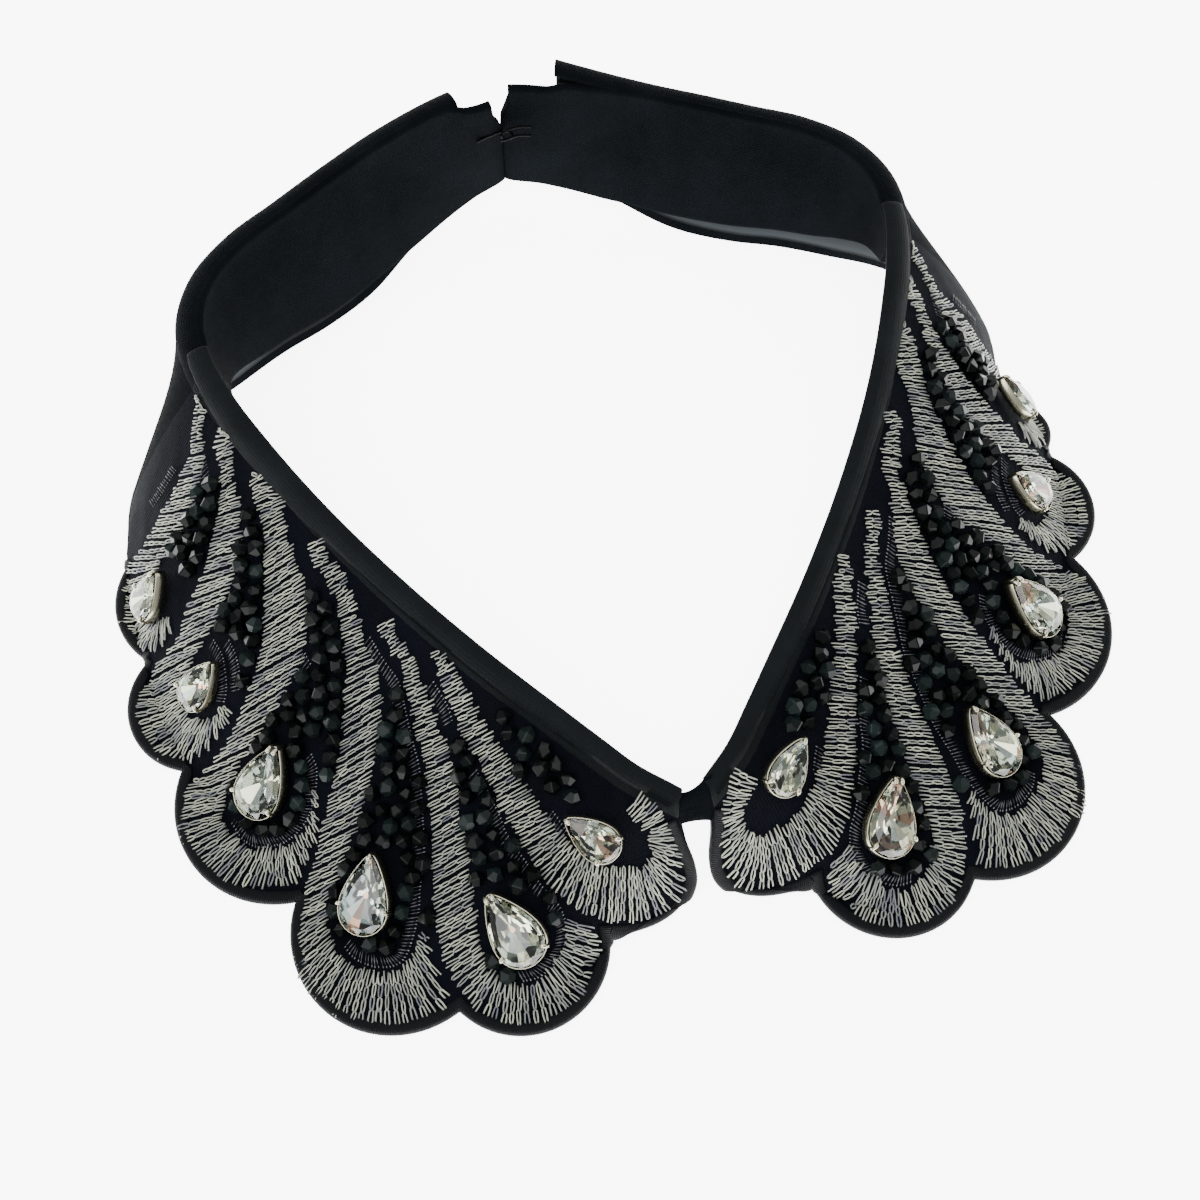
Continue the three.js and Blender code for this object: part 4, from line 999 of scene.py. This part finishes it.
# Thin cup under the girdle, and prongs that bend over it to a round head
def settingShape(row, claws):
    size = row[5] / 11
    rim = 2.9 + 0.6 * size
    even = 2 * math.pi * np.arange(40) / 40
    profile = [(0.05, 1.0), (0.08, rim), (0.16, rim + 0.1), (0.28, rim), (0.34, 1.0), (0.2, 0.45),
        (-0.6, 0.42)]
    grid = np.stack([np.column_stack([pear(row[4], row[5], g, even), np.full(40, z)]) for g, z in profile], 1)
    points = [grid.reshape(-1, 3)]
    faces = [gridFaces(40, len(profile), closeRows=True, closeColumns=True)[:, ::-1]]
    offset = len(points[0])
    girdle = 3.2 + 0.6 * size
    for turn in claws:
        edge = pear(row[4], row[5], 0.55, np.array([turn]))[0]
        out = unit(edge)
        reach = np.array([(-0.25, 0.9), (-0.2, girdle - 0.9), (-0.2, girdle), (-0.35, girdle + 0.5),
            (-0.75, girdle + 0.8), (-1.25, girdle + 0.95), (-1.5, girdle + 0.95)])
        path = np.column_stack([edge + out * reach[:, :1], reach[:, 1]])
        radius = np.array([0.3, 0.32, 0.34, 0.38, 0.5, 0.46, 0.1])
        tubePoints, tubeFaces = tube(path, radius, 8)
        points.append(tubePoints)
        faces += [f + offset for f in tubeFaces]
        offset += len(tubePoints)
    return np.concatenate(points) * (1, 1, flatter(row)), faces


# turns of the claws round each stone, 0 at the narrow tip
clawTurns = [(0.0, 2.4, 4.0), (0.25, -0.25, 2.5, -2.1), (0.0, 1.9, -1.9), (0.2, -0.3, 2.2, -2.2),
    (0.0, 2.2, -2.2), (0.0, 2.4, -1.6)]
for number, row in enumerate(stones, 1):
    for side, word in halves:
        seat, axes = seatOf(number, side)
        points, faces = stoneShape(row)
        made = makePiece(f"stone_cut_{word}_{number}", seat + points @ axes, faces, side, crystal,
            smooth=False, node=f"stone_{word}_{number}")
        made.data.materials.append(foil)
        depth = np.concatenate([points[f, 2].mean(1) for f in faces])
        tint = made.data.attributes.new("tint", "FLOAT", "FACE")
        tint.data.foreach_set("value", rng.random(len(depth)).astype(np.float32))
        behind = depth < girdleOf(row) * flatter(row)
        made.data.polygons.foreach_set("material_index", behind.astype(np.int32))
        points, faces = settingShape(row, clawTurns[number - 1])
        makePiece(f"setting_cup_{word}_{number}", seat + points @ axes, faces, side, claw,
            node=f"setting_{word}_{number}")
print("stones and settings made", flush=True)

# Black glass beads: bicones that fill the room between one band and the next
# Polished jet-black glass; a few beads are a shade greener and catch more light
blackGlass = markedMaterial("black_cut_glass_bead", "tone", {0.0: "#040505", 1.0: "#141c1b"},
    {"Roughness": 0.2, "IOR": 1.56, "Specular IOR Level": 0.07})

beadSize = {"radius": 1.85, "pitch": 3.15, "edge": 1.2, "stoneEdge": 1.7, "lift": 1.25, "stitchEdge": 2.3,
    "grid": 0.55}


# A cut bicone: two six-sided cones on a belt, their tips cut off at the hole
def beadShape():
    turn = 2 * math.pi * np.arange(6) / 6
    rows = [(0.46, -0.78), (1.0, -0.08), (1.0, 0.08), (0.46, 0.78)]
    points = np.concatenate([np.column_stack([r * np.cos(turn), np.full(6, h), r * np.sin(turn)])
        for r, h in rows])
    i = np.arange(6)
    j = (i + 1) % 6
    threes = []
    for k in range(3):
        low, high = k * 6, (k + 1) * 6
        threes += [np.stack([low + i, high + i, low + j], 1), np.stack([low + j, high + i, high + j], 1)]
    caps = [np.array([[0, 1 + k, 2 + k] for k in range(4)]),
        np.array([[18, 20 + k, 19 + k] for k in range(4)])]
    return points, np.concatenate(threes + caps)


# Points from which a ray crosses the outline an odd number of times
def insideOf(points, outline):
    x, y = points[:, 0][:, None], points[:, 1][:, None]
    ax, ay = outline[:, 0], outline[:, 1]
    bx, by = np.roll(ax, -1), np.roll(ay, -1)
    crosses = ((ay > y) != (by > y)) & (x < (bx - ax) * (y - ay) / np.where(by == ay, 1e-9, by - ay) + ax)
    return crosses.sum(1) % 2 == 1


# Inner and outer edge of a band as (s, t) lines
def bandEdges(table):
    fine = np.linspace(table[0, 0], table[-1, 0], 160)
    ends = evenTable(table[:, 0], table[:, 1:], fine)
    return ends[:, :2], ends[:, 2:]


# The neckline side of the first field, as (s, t)
fieldOneEdge = np.array([(46, 5.6), (36, 6.2), (26, 6.6), (20, 7.2), (17, 9.6), (18, 13)])


# How far down the band in front each field reaches, as a run of that band
fieldReach = {2: 12.0, 3: 12.2, 4: 10.7, 5: 11.5, 6: 12.3}
# t at which the beads of a field begin; the first one runs from s 36 to 14
fieldStart = {1: 6.0, 2: 17.0, 3: 16.1, 4: 14.3, 5: 12.8, 6: 13.4}
fieldStop = {1: 13.0, 2: 90.0, 3: 90.0, 4: 90.0, 5: 37.0, 6: 33.0}
fieldOneRange = (14, 36.5)  # the s between which the first field lies


# Beads set one after another from the narrow end, each as near as the pitch allows
def fieldBeads(number, side):
    innerHere = bandEdges(bands[number - 1])[1]
    if number == 1:
        border = np.concatenate([innerHere[:80], fieldOneEdge[::-1]])
    else:
        front = bands[number - 2]
        outerFront = bandEdges(front)[0]
        far = int(160 * fieldReach[number] / front[-1, 0])
        border = np.concatenate([innerHere, outerFront[:far][::-1]])
    low, high = border.min(0), border.max(0)
    fine = beadSize["grid"]
    sGrid, tGrid = np.meshgrid(np.arange(low[0], high[0], fine), np.arange(low[1], high[1], fine))
    spots = np.column_stack([sGrid.ravel(), tGrid.ravel()]) + rng.uniform(-0.2, 0.2, (sGrid.size, 2))
    spots = spots[insideOf(spots, border)]
    place = onSheet(spots[:, 0], spots[:, 1], leafTop)
    wall = onSheet(border[:, 0], border[:, 1], leafTop)
    room = np.linalg.norm(place[:, None] - wall[None], axis=2).min(1)
    row = stones[number - 1]
    seat, axes = seatOf(number, side)
    ring = pear(row[4], row[5], beadSize["stoneEdge"] + 0.3, np.linspace(0, 2 * math.pi, 60))
    local = (place - seat) @ axes.T
    free = ~insideOf(local[:, :2], ring) | (np.abs(local[:, 2]) > 8)
    edging = np.concatenate([np.array(line) for line in hatchLines[number]])
    edging = onSheet(edging[:, 0], edging[:, 1], leafTop)
    clear = np.linalg.norm(place[:, None] - edging[None], axis=2).min(1) > beadSize["stitchEdge"]
    keep = free & (room > beadSize["edge"]) & clear & (spots[:, 1] > fieldStart[number] - 1)
    if number == 1:
        keep &= (spots[:, 0] > fieldOneRange[0]) & (spots[:, 0] < fieldOneRange[1])
    keep &= spots[:, 1] < fieldStop[number]
    spots, place = spots[keep], place[keep]
    order = np.argsort(spots[:, 1] + rng.uniform(0, 0.6, len(spots)))
    spots, place = spots[order], place[order]
    chosen = []
    open_ = np.ones(len(spots), bool)
    while open_.any():
        k = int(np.argmax(open_))
        chosen.append(k)
        open_ &= np.linalg.norm(place - place[k], axis=1) > beadSize["pitch"] * rng.uniform(0.96, 1.08)
    return spots[chosen]


bead, beadFaces = beadShape()
for number in range(1, 7):
    for side, word in halves:
        spots = fieldBeads(number, side)
        count = len(spots)
        lifts = leafTop + beadSize["lift"] + rng.uniform(-0.3, 0.35, count)
        places = onSheet(spots[:, 0], spots[:, 1], lifts)
        heading = rng.normal(0, 1, (count, 3)) * (1, 1, 0.8)
        axes = seatedAxes(spots[:, 0], spots[:, 1], heading)
        tilt = rng.normal(0, 0.45, count)
        cos, sin = np.cos(tilt)[:, None], np.sin(tilt)[:, None]
        tilted = np.stack([axes[:, 0], cos * axes[:, 1] + sin * axes[:, 2],
            cos * axes[:, 2] - sin * axes[:, 1]], 1)
        sizes = beadSize["radius"] * rng.uniform(0.9, 1.08, count)[:, None] * np.ones(3)
        points, faces = scatter(bead, beadFaces, places, tilted, sizes)
        makePiece(f"beads_{word}_{number}", points, faces, side, blackGlass, smooth=False,
            marks={"tone": np.repeat(rng.uniform(0, 1, count) ** 3, len(bead))},
            node=f"bead_field_{word}_{number}")
        if side > 0:
            print("beads in field", number, count, flush=True)

# Studio: white floor, a large soft light overhead and weaker ones from the right and the back
floorPoints = np.array([(-1, -1, 0), (1, -1, 0), (1, 1, 0), (-1, 1, 0)]) * 12000.0 - (0, 0, 0.2)
# White paper, matt and lit from within, so that it stays white under the soft shadows
paper = newMaterial("white_backdrop_paper", {"Base Color": "#f4f4f4", "Roughness": 0.9,
    "Emission Color": "#ffffff", "Emission Strength": 7.0})[0]
floor = makePiece("floor", floorPoints, np.array([[0, 1, 2, 3]]), 1, paper)
del pieces["floor"]

world = bpy.data.worlds.new("studio")
bpy.context.scene.world = world
world.use_nodes = True
sky = world.node_tree.nodes["Background"]
sky.inputs["Color"].default_value = linear("#ffffff")
sky.inputs["Strength"].default_value = 0.7

# name, x, y, z, width, height, power; each one looks at the collar's middle
lamps = [
    ("key", -0.55, -0.35, 1.2, 1.5, 1.5, 34.0),
    ("fill", 1.0, 0.3, 1.0, 1.4, 1.4, 11.0),
    ("back", 0.1, 1.2, 0.8, 1.4, 0.9, 12.0),
]
for name, x, y, z, width, height, power in lamps:
    light = bpy.data.lights.new(name, "AREA")
    light.shape = "RECTANGLE"
    light.size, light.size_y, light.energy = width, height, power
    lamp = bpy.data.objects.new(name, light)
    bpy.context.scene.collection.objects.link(lamp)
    lamp.location = (x, y, z)
    away = unit(np.array([x, y, z]))
    lamp.rotation_mode = "QUATERNION"
    lamp.rotation_quaternion = mathutils.Vector(away.tolist()).to_track_quat("Z", "Y")

# Camera: azimuth, elevation, distance in mm and the point it looks at
cameraView = {"azimuth": -14.32, "elevation": 66.0, "distance": 334.6, "target": (-4.525, -13.63, 0.0)}
azimuth, elevation = math.radians(cameraView["azimuth"]), math.radians(cameraView["elevation"])
back = np.array([math.sin(azimuth) * math.cos(elevation), -math.cos(azimuth) * math.cos(elevation),
    math.sin(elevation)])
rightWay = np.array([math.cos(azimuth), math.sin(azimuth), 0.0])
cameraData = bpy.data.cameras.new("camera")
cameraData.lens, cameraData.sensor_width = 48, 36
camera = bpy.data.objects.new("camera", cameraData)
bpy.context.scene.collection.objects.link(camera)
axes = np.stack([rightWay, np.cross(back, rightWay), back], 1)
camera.rotation_mode = "QUATERNION"
camera.rotation_quaternion = mathutils.Matrix(axes.tolist()).to_quaternion()
camera.location = ((np.array(cameraView["target"]) + back * cameraView["distance"]) / 1000).tolist()
bpy.context.scene.camera = camera
cameraData.clip_start, cameraData.clip_end = 0.01, 20

for name, piece in pieces.items():
    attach(piece, "root")
    if name in standsFor:
        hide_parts(standsFor[name])
